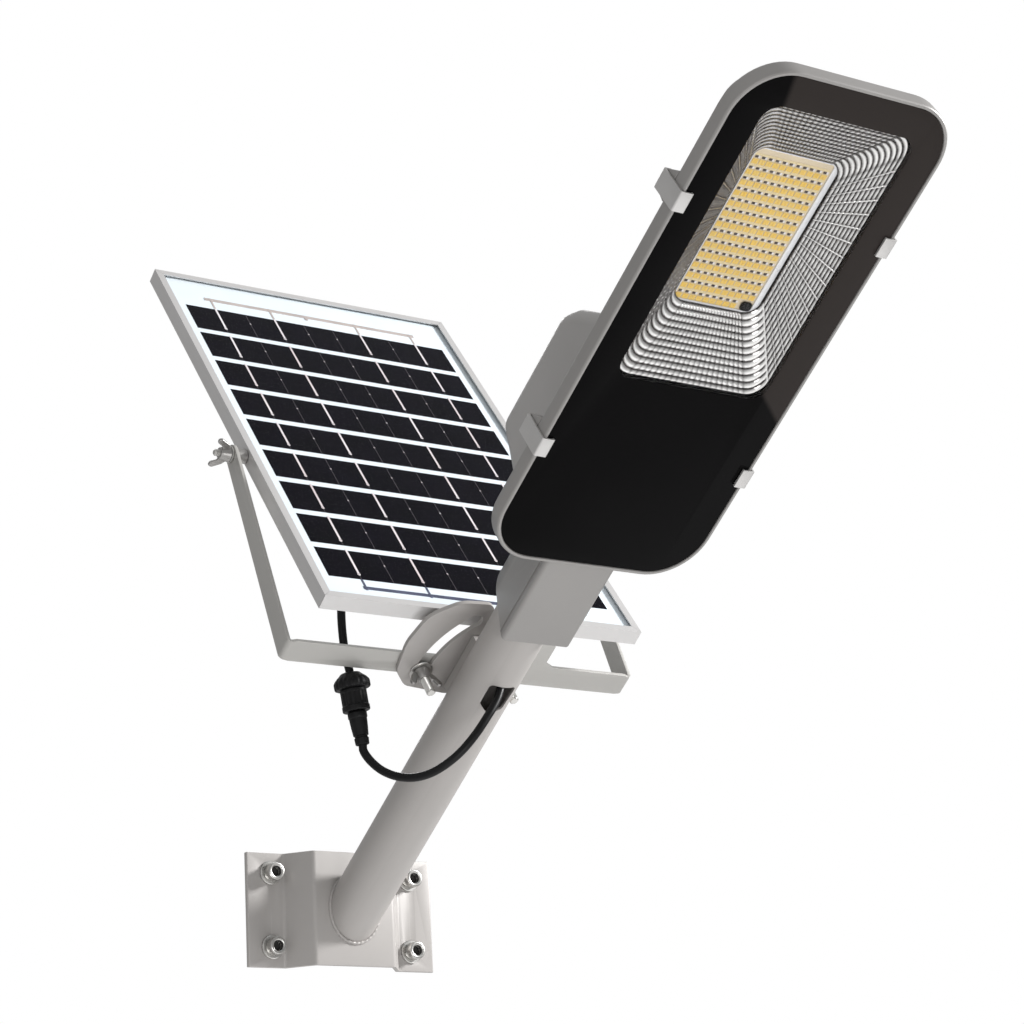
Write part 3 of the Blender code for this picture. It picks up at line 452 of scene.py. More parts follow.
def add_painted_reflection_band(material):
    """Paint a reflection onto the printed border: lift it along the right and the upper end to a dark warm
    grey.
    """
    tree = material.node_tree
    shader = tree.nodes["Principled BSDF"]
    base = shader.inputs["Base Color"].links[0].from_socket
    place = tree.nodes.new("ShaderNodeTexCoord")
    edges = []
    for normal, start in (((1.0, 0.19, 0.0), 0.1077), ((0.8, 1.0, 0.0), 0.684)):
        dot = tree.nodes.new("ShaderNodeVectorMath")
        dot.operation = "DOT_PRODUCT"
        dot.inputs[1].default_value = normal
        tree.links.new(place.outputs["Object"], dot.inputs[0])
        edges.append(ranged(tree, dot.outputs["Value"], 0.0, 1.0, start - 0.003, start + 0.004, "SMOOTHSTEP"))
    both = tree.nodes.new("ShaderNodeMath")
    both.operation = "MULTIPLY"
    tree.links.new(edges[0], both.inputs[0])
    tree.links.new(edges[1], both.inputs[1])
    # painted reflection: a dark warm grey laid over the black print near the right and upper edges
    lifted = mixed(tree, both.outputs["Value"], base, (0.034, 0.029, 0.027))
    tree.links.new(lifted, shader.inputs["Base Color"])


def add_painted_crease_shade(material, name):
    """Paint shade into a metal's creases, read from a painted light value kept on the mesh: near black where
    it is 0, the metal's own colour where it is 1.
    """
    tree = material.node_tree
    shader = tree.nodes["Principled BSDF"]
    base = shader.inputs["Base Color"].links[0].from_socket
    painted_light = tree.nodes.new("ShaderNodeAttribute")
    painted_light.attribute_name = name
    depth = ranged(tree, painted_light.outputs["Fac"], 0.0, 1.0, 0.12, 0.85)
    tree.links.new(mixed(tree, depth, (0.055, 0.048, 0.045), base), shader.inputs["Base Color"])


add_painted_reflection_band(BLACK_GLASS)
# painted shade in the reflector's creases and painted highlights on its crests, from values stored on the
# mesh
add_painted_crease_shade(MIRROR, "painted_light")


def coat(obj, material):
    obj.data.materials.clear()
    obj.data.materials.append(material)
    return obj


def piece(obj, material, body, *stands_for):
    """Finish a piece: its material, the body it rides on and the CAD nodes it replaces."""
    if material:
        coat(obj, material)
    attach(obj, body)
    if stands_for:
        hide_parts(*stands_for)
    return obj


# ---------------------------------------------------------------- leads
CORD_RADIUS = 3.6


def smooth_route(points, spacing):
    knots = [Vector(p) for p in points]
    knots = [knots[0] * 2 - knots[1]] + knots + [knots[-1] * 2 - knots[-2]]
    dense = []
    for before, start, end, after in zip(knots, knots[1:], knots[2:], knots[3:]):
        for i in range(16):
            t = i / 16
            lead_in = (end - before) / 2
            lead_out = (after - start) / 2
            dense.append((2 * t**3 - 3 * t**2 + 1) * start + (t**3 - 2 * t**2 + t) * lead_in
                         + (-2 * t**3 + 3 * t**2) * end + (t**3 - t**2) * lead_out)
    dense.append(knots[-2])
    lengths = [(b - a).length for a, b in zip(dense, dense[1:])]
    count = round(sum(lengths) / spacing)
    step = sum(lengths) / count
    route = [dense[0]]
    walked = 0.0
    for a, b, length in zip(dense, dense[1:], lengths):
        while len(route) < count and walked + length >= step * len(route):
            route.append(a.lerp(b, (step * len(route) - walked) / length))
        walked += length
    return route + [dense[-1]], sum(lengths)


def lead(name, points):
    route, length = smooth_route(points, 3.0)
    curve = bpy.data.curves.new(name, "CURVE")
    curve.dimensions = "3D"
    curve.bevel_depth = CORD_RADIUS * MM
    curve.bevel_resolution = 6
    curve.use_fill_caps = True
    spline = curve.splines.new("POLY")
    spline.points.add(len(route) - 1)
    for point, place in zip(spline.points, route):
        point.co = (*(place * MM), 1)
    source = add_object(name + "_line", curve, WORLD)
    mesh = evaluated_mesh(source)
    bpy.data.objects.remove(source, do_unlink=True)
    weld(mesh, FINE_MERGE, dissolve=False)
    obj = coat(smooth(add_object(name, mesh, WORLD), 60), CORD_SKIN)
    return obj, [tuple(p * MM) for p in route], length * MM


panel_route = [at(GLAND, 0, 0, 4), at(GLAND, 0, 0, 18), at(GLAND, 0, -0.4, 27)]
panel_route += [(-108.9, -207.2, 251), (-108.8, -207.4, 238), (-108.7, -206.9, 225),
                (-108.4, -206.3, 211), (-107.3, -206.0, 196), (-105.4, -206.0, 182),
                at(CONNECTOR, 0, 0, 0), at(CONNECTOR, 0, 0, 12)]
lamp_route = [at(CONNECTOR, 0, 0, 51), at(CONNECTOR, 0, 0, 62), at(CONNECTOR, 0, 0, 68),
              (-89.4, -215.5, 90.0), (-83.4, -224.5, 80.8), (-75.0, -236.5, 74.4),
              (-65.6, -249.5, 72.6), (-55.6, -263.0, 76.4), (-43.0, -275.6, 87.4),
              (-30.8, -283.2, 102.4), (-18.4, -286.0, 119.6), (-9.0, -285.4, 132.6),
              (-3.2, -284.0, 143.6), (0.4, -283.0, 154.0), at(ARM, 1, 318, 6), at(ARM, 0, 345, 0)]
panel_cord, panel_path, panel_length = lead("panel_cord", panel_route)
lamp_cord, lamp_path, lamp_length = lead("lamp_cord", lamp_route)
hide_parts("panel_lead")
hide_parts("lamp_lead")

# ---------------------------------------------------------------- connector


def flute(obj, count, radius, low, high, depth, valley):
    """Cut grip ridges round a turned piece, past a radius and between two heights."""
    for vertex in obj.data.vertices:
        x, y, z = vertex.co
        if math.hypot(x, y) / MM > radius and low < z / MM < high:
            ridge = 1 + depth * (1 if math.sin(count * math.atan2(y, x)) > 0 else valley)
            vertex.co = (x * ridge, y * ridge, z)


nut_profile = [(4.3, 13.6), (4.6, 14), (13.6, 14), (14.6, 13.5), (15.1, 12.4), (15.1, 8.4), (14.6, 7.2),
               (13.2, 5.2), (11.2, 3.0), (9.4, 1.4), (8.8, 0.6), (7.4, 0.0), (4.8, 0.0), (4.3, 0.4)]
flange_nut = turned("flange_nut", nut_profile, 144, CONNECTOR, ring=True)
flute(flange_nut, 18, 12.9, 5, math.inf, 0.028, -0.4)
piece(flange_nut, PLASTIC, "yoke", "connector_nut")
body_profile = [(0, 33.2), (11.0, 33.2), (11.6, 32.7), (11.75, 32.0), (11.75, 28.8), (11.4, 28.2),
                (10.9, 27.9), (10.9, 17.4), (11.3, 16.9), (11.3, 14.9), (10.9, 14.3), (0, 14.3)]
socket_shell = turned("socket_shell", body_profile, 96, CONNECTOR)
flute(socket_shell, 12, 10.5, 17, 28.1, 0.03, -0.5)
piece(socket_shell, PLASTIC, "yoke", "connector_socket")
plug_profile = [(0, 56), (4.3, 56), (4.3, 61.8), (4.7, 62), (5.4, 62), (5.9, 61.4), (6.2, 56.4), (5.5, 55.8),
                (5.5, 54.6), (6.5, 54.0), (6.7, 51.6), (7.2, 47.0), (7.5, 42.0), (7.6, 39.6), (8.0, 39.0),
                (8.2, 38.4), (8.2, 35.0), (7.9, 34.2), (7.2, 33.6), (6.9, 33.4), (0, 33.4)]
piece(turned("plug_body", plug_profile, 80, CONNECTOR), PLASTIC, "yoke", "connector_plug")
gland_profile = [(4.2, 18), (4.9, 18), (5.5, 17.4), (6.8, 15), (7.0, 14.4), (7.0, 8.4), (7.2, 8), (8.0, 8),
                 (8.2, 7.7), (8.2, 0.3), (8.0, 0), (4.2, 0)]
gland = turned("gland_body", gland_profile, 72, GLAND, ring=True)
flute(gland, 12, 7.9, -math.inf, math.inf, 0.03, -1)
piece(gland, PLASTIC, "panel", "lead_gland")
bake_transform(panel_cord)
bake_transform(lamp_cord)

# ---------------------------------------------------------------- wall bracket
hat = [(-95.8, 0), (-95.8, -4), (-58.9, -4), (-40.9, -HAT_DEPTH)]
hat += [(-x, y) for x, y in reversed(hat)]
inside = [(56.9, 0), (38.9, 4 - HAT_DEPTH)]
hat += inside + [(-x, y) for x, y in reversed(inside)]
bracket = flat("bracket_sheet", [rounded(hat, [0, 1.5, 5, 5, 5, 5, 1.5, 0, 2, 2, 2, 2], 8)], -51, 51, WORLD)
wall_spots = [(-72, 33), (72, 33), (-72, -33), (72, -33)]
for number, (x, z) in enumerate(wall_spots, 1):
    spot = placed((x, 0, z), (0, -1, 0), X)
    cut(bracket, bar("hole", 5.5, -5, 12, spot))
    ring = turned(f"bracket_washer_{number}", [(5.3, 6.3), (9.9, 6.3), (10.5, 5.8), (10.5, 4.3), (5.3, 4.3)],
                  72, spot, ring=True)
    piece(ring, ZINC, "lamp", f"wall_washer_{number}")
    head = [(0, 11.6), (4.5, 11.6), (4.8, 16.0), (5.4, 16.5), (7.0, 16.6), (7.7, 16.2), (8.0, 15.4),
            (8.0, 7.4), (7.7, 6.6), (5.0, 6.6), (5.0, -29), (4, -30), (0, -30)]
    screw = turned(f"bracket_bolt_{number}", head, 72, spot)
    socket = turned("recess", [(0, 15.2), (4.62, 15.2), (4.62, 10.4), (0, 10.4)], 6, spot)
    cut(screw, socket)
    coat(screw, ZINC)
    # painted shade: the faces inside the hex recess get the near-black finish so the recess reads as shaded
    screw.data.materials.append(RECESS_SHADE)
    for polygon in screw.data.polygons:
        x, y, z = polygon.center / MM
        if math.hypot(x, y) < 4.3 and 10 < z < 15.9:
            polygon.material_index = 1
    piece(screw, None, "lamp", f"wall_bolt_{number}")
bevelled(bracket, 0.6, 3, 45)
piece(bracket, PAINT, "lamp", "wall_bracket")

# ---------------------------------------------------------------- arm tube
tube = turned("arm_pipe", [(23, 432), (25, 432), (25, -30), (23, -30)], 128, TUBE, ring=True)
entry = [(-13, 296), (12, 297), (9.5, 272), (-4, 266.5), (-13, 274)]
cut(tube, block("foot", (-60, 60), (-HAT_DEPTH - 0.3, 60), (-80, 80), WORLD),
    flat("entry", [rounded(entry, 4, 8)], 14, 35, ARM))
piece(tube, TUBE_PAINT, "lamp", "arm_tube")
bead = bpy.data.curves.new("weld", "CURVE")
bead.dimensions = "3D"
bead.bevel_depth = 1.5 * MM
bead.bevel_resolution = 4
spline = bead.splines.new("POLY")
spline.points.add(143)
for i, point in enumerate(spline.points):
    angle = 2 * math.pi * i / 144
    radius = 25.5
    x = radius * math.cos(angle)
    z = radius * math.sin(angle) / math.cos(SLOPE)
    point.co = (x * MM, (-HAT_DEPTH - 0.5) * MM, z * MM, 1)
    point.radius = 1 + 0.16 * math.sin(36 * angle)
spline.use_cyclic_u = True
bead_source = add_object("weld_line", bead, WORLD)
weld_bead = add_object("weld_bead", evaluated_mesh(bead_source), WORLD)
bpy.data.objects.remove(bead_source, do_unlink=True)
piece(smooth(weld_bead, 60), TUBE_PAINT, "lamp")

# ---------------------------------------------------------------- swivel plate
cradle = [(x, math.sqrt(25.15 ** 2 - x * x)) for x in range(-12, 13)]
cradle += [(12, 32.85), (-12, 32.85)]
piece(flat("cradle_block", [cradle], 242, 302, TUBE, 0.5), PAINT, "lamp", "plate_spacer")
plate_corners = [(-8, 337), (-38, 335), (-62, 317), (-69, 285), (-64, 253), (-50, 239), (-8, 234.5),
                 (55, 244), (55, 270), (27, 276), (10, 305)]
plate_outline = rounded(plate_corners, [9, 28, 28, 40, 16, 14, 30, 11, 11, 12, 30], 12)
pivot = (PIVOT_X, PIVOT_A)
plate = flat("slotted_plate",
             [plate_outline, arc_slot(pivot, 84, 13, 180, 134), arc(pivot, 4.3, 0, 350, 35)],
             PLATE_BACK, PLATE_FRONT, ARM, 0.55)
piece(plate, PAINT, "lamp", "sector_plate")

# ---------------------------------------------------------------- yoke strap, bent from a flat blank
BEND_RADIUS = 2.9
BEND_START = YOKE_HALF_WIDTH - BEND_RADIUS - 1.5
BEND_LENGTH = BEND_RADIUS * math.pi / 2
STRAP_MIDDLE = (STRAP_FRONT + STRAP_BACK) / 2
tilt_u = BEND_START + BEND_LENGTH + (STRAP_MIDDLE - BEND_RADIUS - TILT_N)
lean = math.atan2(TILT_A - 260.5, tilt_u - BEND_START - BEND_LENGTH / 2)
shift = Vector((-math.sin(lean), math.cos(lean))) * 9.8
tip = Vector((tilt_u, TILT_A))
bend_in = Vector((BEND_START + BEND_LENGTH / 2, 260.5))
right_low = [(BEND_START - 4, 249.5), tuple(bend_in - shift)]
round_end = arc(tip, 8.8, math.degrees(lean) - 90, math.degrees(lean) + 90, 24)
right_high = [tuple(bend_in + shift), (BEND_START - 4, 271.5)]
ear = [(89, 271.5)] + arc((82, 278), 3, 250, 180, 5) + arc((73, 294), 6, 0, 90, 6)
ear += arc((14, 294), 6, 90, 180, 6) + [(8, 271.5)]
half = right_low + round_end + right_high
blank = half + ear + [(-x, y) for x, y in reversed(half)]
holes = [arc(pivot, 4.3, 0, 350, 35), arc((-PIVOT_X, PIVOT_A), 4.3, 0, 350, 35)]
holes += [arc((sign * tilt_u, TILT_A), 3.4, 0, 350, 35) for sign in (-1, 1)]
strap = flat("bent_strap", [blank] + holes, -1.5, 1.5, ARM, 0.45, 3)
work = bmesh.new()
work.from_mesh(strap.data)
for sign in (-1, 1):
    for i in range(15):
        u = sign * (BEND_START + BEND_LENGTH * i / 14)
        geometry = list(work.verts) + list(work.edges) + list(work.faces)
        bmesh.ops.bisect_plane(work, geom=geometry, plane_co=(u * MM, 0, 0), plane_no=(1, 0, 0), dist=1e-7)
for vertex in work.verts:
    u, a, t = vertex.co / MM
    past = abs(u) - BEND_START
    side = 1 if u > 0 else -1
    if past <= 0:
        vertex.co = Vector((u, a, STRAP_MIDDLE + t)) * MM
        continue
    angle = min(past / BEND_RADIUS, math.pi / 2)
    x = BEND_START + (BEND_RADIUS + t) * math.sin(angle)
    n = STRAP_MIDDLE - BEND_RADIUS + (BEND_RADIUS + t) * math.cos(angle)
    n -= max(past - BEND_LENGTH, 0)
    vertex.co = Vector((side * x, a, n)) * MM
work.to_mesh(strap.data)
work.free()
piece(smooth(strap, 40), STRAP_PAINT, "yoke", "yoke_strap")

# ---------------------------------------------------------------- fasteners


def hex_nut(name, bore, across, low, high, place):
    radius = across / 2 / math.cos(math.radians(30))
    nut = turned(name, [(0, high), (radius, high), (radius, low), (0, low)], 6, place)
    dome = turned(name + "_dome", [(0, high + 1), (across / 2 - 0.6, high + 0.4), (radius + 0.4, high - 1.3),
                                   (radius + 0.4, low + 1.3), (across / 2 - 0.6, low - 0.4), (0, low - 1)],
                  72, place)
    combine(nut, "INTERSECT", [dome])
    if bore:
        thread = turned("bore", [(0, high + 4), (bore + 0.9, high + 4), (bore + 0.9, high),
                                 (bore, high - 0.9), (bore, low - 4), (0, low - 4)], 64, place)
        cut(nut, thread)
    return nut


def threaded(name, radius, pitch, low, tip, place, plain=0.0):
    """A shank with rolled thread ridges from low + plain to its chamfered tip."""
    profile = [(0, tip), (radius - 1.0, tip), (radius - 0.15, tip - 0.9)]
    height = tip - 1.2
    while height > low + plain + pitch:
        root = radius - pitch * 0.42
        profile += [(radius, height), (radius, height - pitch * 0.15), (root, height - pitch * 0.5),
                    (root, height - pitch * 0.62)]
        height -= pitch
    profile += [(radius, height), (radius, low), (0, low)]
    return turned(name, profile, 48, place)


def wing_nut(name, bore, scale, low, place):
    hub = turned(name, [(bore, low + 9.2 * scale), (4.9 * scale, low + 9.2 * scale),
                        (5.4 * scale, low + 8.6 * scale), (6.0 * scale, low + 4.0 * scale),
                        (6.9 * scale, low + 1.0 * scale), (7.1 * scale, low + 0.4 * scale),
                        (6.8 * scale, low), (bore, low)], 64, place, ring=True)
    corners = [(4.6, 0.8), (7.4, 0.8), (10.5, 3.4), (14.9, 11.4), (13.9, 15.0), (10.0, 14.2),
               (7.4, 8.6), (4.6, 8.2)]
    outline = rounded([(x * scale, y * scale) for x, y in corners],
                      [r * scale for r in (0, 1, 3, 2.2, 1.8, 2.2, 2, 0)], 6)
    for sign in (1, -1):
        axes = place.to_3x3()
        upright = placed(at(place, 0, 0, low), axes @ Vector((0, -sign, 0)), axes @ Vector((sign, 0, 0)))
        join(hub, flat("wing", [outline], -1.45 * scale, 1.45 * scale, upright, 0.95 * scale, 4))
    return smooth(hub, 45)


PIVOT = arm_spot(PIVOT_X, PIVOT_A)
SLOT_BOLT = arm_spot(-PIVOT_X, PIVOT_A)
head_low, head_high = STRAP_BACK - 5.7, STRAP_BACK - 0.3
for name, place, body, node in (("pivot", PIVOT, "lamp", "pivot_bolt"),
                                ("slot", SLOT_BOLT, "yoke", "slot_bolt")):
    bolt = join(hex_nut(name + "_bolt_body", 0, 13, head_low, head_high, place),
                threaded("shank", 4.0, 1.25, head_low + 1, -5, place, 8))
    piece(bolt, ZINC, body, node)
washer_profile = [(4.3, -31.1), (8.6, -31.1), (9.0, -31.5), (9.0, -32.7), (4.3, -32.7)]
piece(turned("pivot_ring", washer_profile, 72, PIVOT, ring=True), ZINC, "lamp", "pivot_washer")
piece(hex_nut("pivot_nut_body", 4.1, 13, -30.8, -24.3, PIVOT), ZINC, "lamp", "pivot_nut")
wide_profile = [(4.3, -31.1), (10.1, -31.1), (10.5, -31.5), (10.5, -32.7), (4.3, -32.7)]
piece(turned("slot_ring", wide_profile, 72, SLOT_BOLT, ring=True), ZINC, "yoke", "slot_washer")
piece(wing_nut("slot_nut_body", 4.1, 1.06, PLATE_FRONT + 2.2, SLOT_BOLT), CAST_ZINC, "slot_nut",
      "slot_wing_nut")
for side, sign in (("left", -1), ("right", 1)):
    axle = placed(TILT_POINT, (sign, 0, 0), X.cross(-PANEL_DOWN))
    bolt = threaded(f"side_stud_{side}", 3.0, 1.0, 156, 191, axle, 14)
    join(bolt, block("head", (-3, 3), (-6, 6), (154.6, 158.2), axle, 0.4))
    piece(bolt, ZINC, "panel", f"side_bolt_{side}")
    spacer = turned(f"bushing_{side}", [(3.3, 171.2), (5.9, 171.2), (6.5, 170.6), (6.5, 161.1), (5.9, 160.5),
                                        (3.3, 160.5)], 64, axle, ring=True)
    piece(spacer, CAST_ZINC, "yoke", f"side_spacer_{side}")
    ring = turned(f"thin_ring_{side}", [(3.3, 176.4), (7.2, 176.4), (7.5, 176.1), (7.5, 174.8), (3.3, 174.8)],
                  64, axle, ring=True)
    piece(ring, ZINC, "yoke", f"side_washer_{side}")
    piece(wing_nut(f"side_nut_{side}_body", 3.1, 1.0, 176.7, axle), CAST_ZINC, f"side_nut_{side}",
          f"side_wing_nut_{side}")

# ---------------------------------------------------------------- panel
sheet = flat("back_sheet", [rectangle(-158, 158, -202.3, 290.3)], 4.7, 5.2, PANEL)
piece(sheet, BACKSHEET, "panel", "cell_sheet")
pane = flat("cover_pane", [rectangle(-158, 158, -202.3, 290.3)], 6.2, 7.1, PANEL)
piece(pane, PANE, "panel", "panel_glass")
CELL_LEFT, CELL_RIGHT = -143.0, 141.0
CELL_TOP, CELL_BOTTOM = 241.0, -171.5
ROWS, ROW_GAP = 9, 7.0
LINE_STEPS = 9
row_pitch = (CELL_TOP - CELL_BOTTOM + ROW_GAP) / ROWS
cells = bmesh.new()
wires = bmesh.new()
fingers = bmesh.new()


def slab(target, x0, x1, y0, y1, z0, z1):
    made = bmesh.ops.create_cube(target, size=1.0)
    bmesh.ops.scale(target, vec=Vector((x1 - x0, y1 - y0, z1 - z0)) * MM, verts=made["verts"])
    bmesh.ops.translate(target, vec=Vector((x0 + x1, y0 + y1, z0 + z1)) * MM / 2, verts=made["verts"])


def from_bmesh(name, source, place):
    mesh = bpy.data.meshes.new(name)
    source.to_mesh(mesh)
    source.free()
    return add_object(name, mesh, place)


def disc(target, x, y, z, radius, height):
    made = bmesh.ops.create_cone(target, cap_ends=True, segments=16, radius1=radius * MM,
                                 radius2=radius * 0.7 * MM, depth=height * MM)
    bmesh.ops.translate(target, vec=Vector((x, y, z)) * MM, verts=made["verts"])


BUS_LINES = (1, 3, 6, 8)
BRIGHT = (True, False, True, False, False, True, False, True)
for row in range(ROWS):
    top = CELL_TOP - row * row_pitch
    low = top - (row_pitch - ROW_GAP)
    slab(cells, CELL_LEFT, CELL_RIGHT, low, top, 5.2, 5.35)
    for line, bright in enumerate(BRIGHT, 1):
        x = CELL_LEFT + (CELL_RIGHT - CELL_LEFT) * line / LINE_STEPS
        if bright:
            slab(wires, x - 1.05, x + 1.05, low + 6.5, top + 1.5, 5.35, 5.55)
            disc(wires, x, low + 7.0, 5.45, 1.6, 0.2)
            slab(fingers, x - 0.3, x + 0.3, low, low + 5.5, 5.35, 5.4)
        else:
            slab(fingers, x - 0.35, x + 0.35, low, top, 5.35, 5.4)
            disc(wires, x, top - (top - low) * 0.4, 5.42, 0.8, 0.15)
piece(from_bmesh("cell_rows", cells, PANEL), CELL, "panel")
piece(from_bmesh("cell_wires", wires, PANEL), TINNED, "panel")
piece(from_bmesh("cell_fingers", fingers, PANEL), GRID, "panel")
ribbons = bmesh.new()
slab(ribbons, -118, 114, 255.0, 259.6, 5.2, 5.6)
for line in BUS_LINES:
    x = CELL_LEFT + (CELL_RIGHT - CELL_LEFT) * line / LINE_STEPS
    slab(ribbons, x - 1.0, x + 1.0, CELL_TOP, 256, 5.2, 5.5)
    disc(ribbons, x, 257.4, 5.65, 2.9, 0.3)
disc(ribbons, -9, 253.4, 5.6, 2.2, 0.3)
piece(from_bmesh("top_ribbon", ribbons, PANEL), ROSE_RIBBON, "panel")
ribbons = bmesh.new()
slab(ribbons, -114, 112, -185.0, -181.2, 5.2, 5.6)
for line in BUS_LINES:
    x = CELL_LEFT + (CELL_RIGHT - CELL_LEFT) * line / LINE_STEPS
    slab(ribbons, x - 1.0, x + 1.0, -186, CELL_BOTTOM, 5.2, 5.5)
    disc(ribbons, x, -183.2, 5.65, 2.6, 0.3)
piece(from_bmesh("bottom_ribbon", ribbons, PANEL), BLUE_RIBBON, "panel")

# ---------------------------------------------------------------- lamp housing
shape = [(79, 466, 870, 24, 3.0), (90, 450, 888.5, 34, 25.9), (93, 447, 891.5, 37, 26.0),
         (98.3, 441.7, 896.8, 42.3, 26.0), (98.3, 441.7, 896.8, 42.3, 32.9),
         (98.6, 441.4, 897.1, 42.6, 33.4), (99.3, 440.6, 897.9, 43.3, 33.7),
         (100.4, 439.4, 899.1, 44.4, 33.5), (101.2, 438.5, 900.0, 45.2, 32.7),
         (101.5, 438.2, 900.3, 45.5, 31.5), (101.5, 438.2, 900.3, 45.5, 20.5),
         (101.2, 438.5, 900.0, 45.2, 19.2), (100.2, 439.5, 899.0, 44.2, 18.2),
         (98.5, 441.2, 897.3, 42.5, 17.6), (95.5, 444.2, 894.3, 39.5, 17.2),
         (94.2, 445.5, 893.0, 38.4, 15.5), (84.0, 457.5, 880.0, 29.0, -2.0),
         (82.5, 459.3, 877.6, 27.6, -4.3), (80.0, 462.0, 874.0, 26.0, -5.7),
         (77.0, 465.0, 871.0, 24.0, -6.0)]
housing = tapered("head_casting", shape, ARM, 14)
neck_section = [(-34, -29.8), (34, -29.8), (34, 34), (-34, 34)]
neck = flat("neck", [rounded(neck_section, [4, 4, 28, 28], 12)], 330, 470, TUBE)
cut(neck, flat("slant", [[(300, 60), (334, 60), (401, -65), (300, -65)]], -60, 60, SIDE))
bevelled(neck, 1.2, 3, 50)
for sign in (-1, 1):
    groove = sorted((sign * 33.4, sign * 36))
    cut(neck, block("groove", groove, (-24.6, -22.2), (300, 436), TUBE))
join(housing, neck)
for number in range(9):
    x = 14.0 * (number - 4)
    join(housing, block("fin", (x - 1.5, x + 1.5), (664, 862), (-16, -5), ARM, 0.9))
clips = [(-1, 548.7), (1, 548.7), (-1, 779.5), (1, 779.5)]
for sign, a in clips:
    wedge = [(a - 9, 5), (a + 9, 5), (a + 16, 18.5), (a - 12, 18.5)]
    sides = sorted((sign * 86, sign * 101.3))
    join(housing, flat("anchor", [wedge], sides[0], sides[1], SIDE, 1.0))
cut(housing, bar("bore", 25.3, 300, 434, TUBE, 96),
    bar("passage", 7, 420, 480, placed(at(ARM, 0, 0, 11), ALONG, X)))
for a in (397, 421):
    cut(housing, bar("hole", 4.3, 20, 45, arm_spot(0, a, 0, -FACING)))
join(housing, block("pad", (-38, 38), (687.5, 822.5), (2, 4), ARM))
piece(smooth(housing, 32), CAST, "lamp", "lamp_housing")

WINDOW_HALF, WINDOW_LOW, WINDOW_HIGH, WINDOW_RADIUS = 71.5, 622.5, 870.5, 15
WINDOW_MIDDLE = (WINDOW_LOW + WINDOW_HIGH) / 2
window_corners = rectangle(-WINDOW_HALF, WINDOW_HALF, WINDOW_LOW, WINDOW_HIGH)
window = rounded(window_corners, WINDOW_RADIUS, 12)
glass = flat("black_pane", [rectangle(-98, 98, 442, 896.5, 42, 16), window], 28.7, 32.7, ARM, 0.5)
piece(glass, BLACK_GLASS, "lamp", "front_glass")
inner = rounded([(x * 0.999, WINDOW_MIDDLE + (a - WINDOW_MIDDLE) * 0.999) for x, a in window_corners],
                WINDOW_RADIUS, 12)
piece(flat("window", [inner], 31.9, 32.6, ARM), CLEAR, "lamp")

# ---------------------------------------------------------------- reflector
TERRACES = 12
RIM_HEIGHT, WELL_HEIGHT = 28.1, 8.2
WELL_HALF, WELL_LOW, WELL_HIGH, WELL_RADIUS = 41.5, 684.0, 825.5, 13.5
BEADS = [(u, math.sin(math.pi * u)) for u in (0.0, 0.07, 0.3, 0.5, 0.7, 0.93)]
# Each side: bead count, swell, whether it has ribs, and a painted brightness that makes the lower end
# lightest and the left side darkest
SIDES = [(20, 0.42, False, 1.2), (16, 0.2, True, 0.85), (20, 0.42, False, 0.7), (16, 0.2, True, 0.42)]


def terrace_loop(t, height):
    """One outline of the reflector between the window (t = 0) and the light board (t = 1).

    Each side is split into beads that swell towards the window; the long sides have a thin rib
    between beads. Every point carries a painted light value, from 0 for painted shade in a crease to 1 for a
    painted highlight, and whether it's a rib."""
    half = WINDOW_HALF + t * (WELL_HALF - WINDOW_HALF)
    low = WINDOW_LOW + t * (WELL_LOW - WINDOW_LOW)
    high = WINDOW_HIGH + t * (WELL_HIGH - WINDOW_HIGH)
    radius = WINDOW_RADIUS + t * (WELL_RADIUS - WINDOW_RADIUS)
    corners = [Vector(corner) for corner in rectangle(-half, half, low, high)]
    loop = []
    for i, (count, swell, ribbed, painted_side_light) in enumerate(SIDES):
        start, end = corners[i], corners[(i + 1) % 4]
        run = (end - start).normalized()
        first, last = start + run * radius, end - run * radius
        for bead in range(count):
            for u, proud in BEADS:
                point = first.lerp(last, (bead + u) / count)
                on_rib = ribbed and u == 0
                # painted highlight on the ribs and on the swell of each bead, painted shade between beads,
                # scaled by the side's painted brightness
                painted_tone = min(1, painted_side_light + 0.35) if on_rib else painted_side_light * (0.45 + 0.55 * proud)
                loop.append((point.x, point.y, height + swell * proud, painted_tone, on_rib))
        loop.append((last.x, last.y, height, painted_side_light * 0.7, False))
        next_painted_side_light = SIDES[(i + 1) % 4][3]
        centre = last + Vector((-run.y, run.x)) * radius
        begin = math.degrees(math.atan2(*(last - centre).yx))
        for k, (x, y) in enumerate(arc(centre, radius, begin, begin + 90, 8)[1:-1], 1):
            loop.append((x, y, height, painted_side_light + (next_painted_side_light - painted_side_light) * k / 8, False))
    return loop


drop = (RIM_HEIGHT - WELL_HEIGHT) / TERRACES
rings = []
for step in range(TERRACES):
    for part in (0.0, 0.15, 0.35, 0.55, 0.75, 0.9):
        roll = math.sin(math.pi * part)
        ring = terrace_loop((step + part) / TERRACES, RIM_HEIGHT - drop * (step + part))
        # painted shade in the creases between terraces, painted light on their rolls
        rings.append([(x, a, n + (0.8 if on_rib else 0.75 * roll), painted_tone if on_rib else painted_tone * roll)
                      for x, a, n, painted_tone, on_rib in ring])
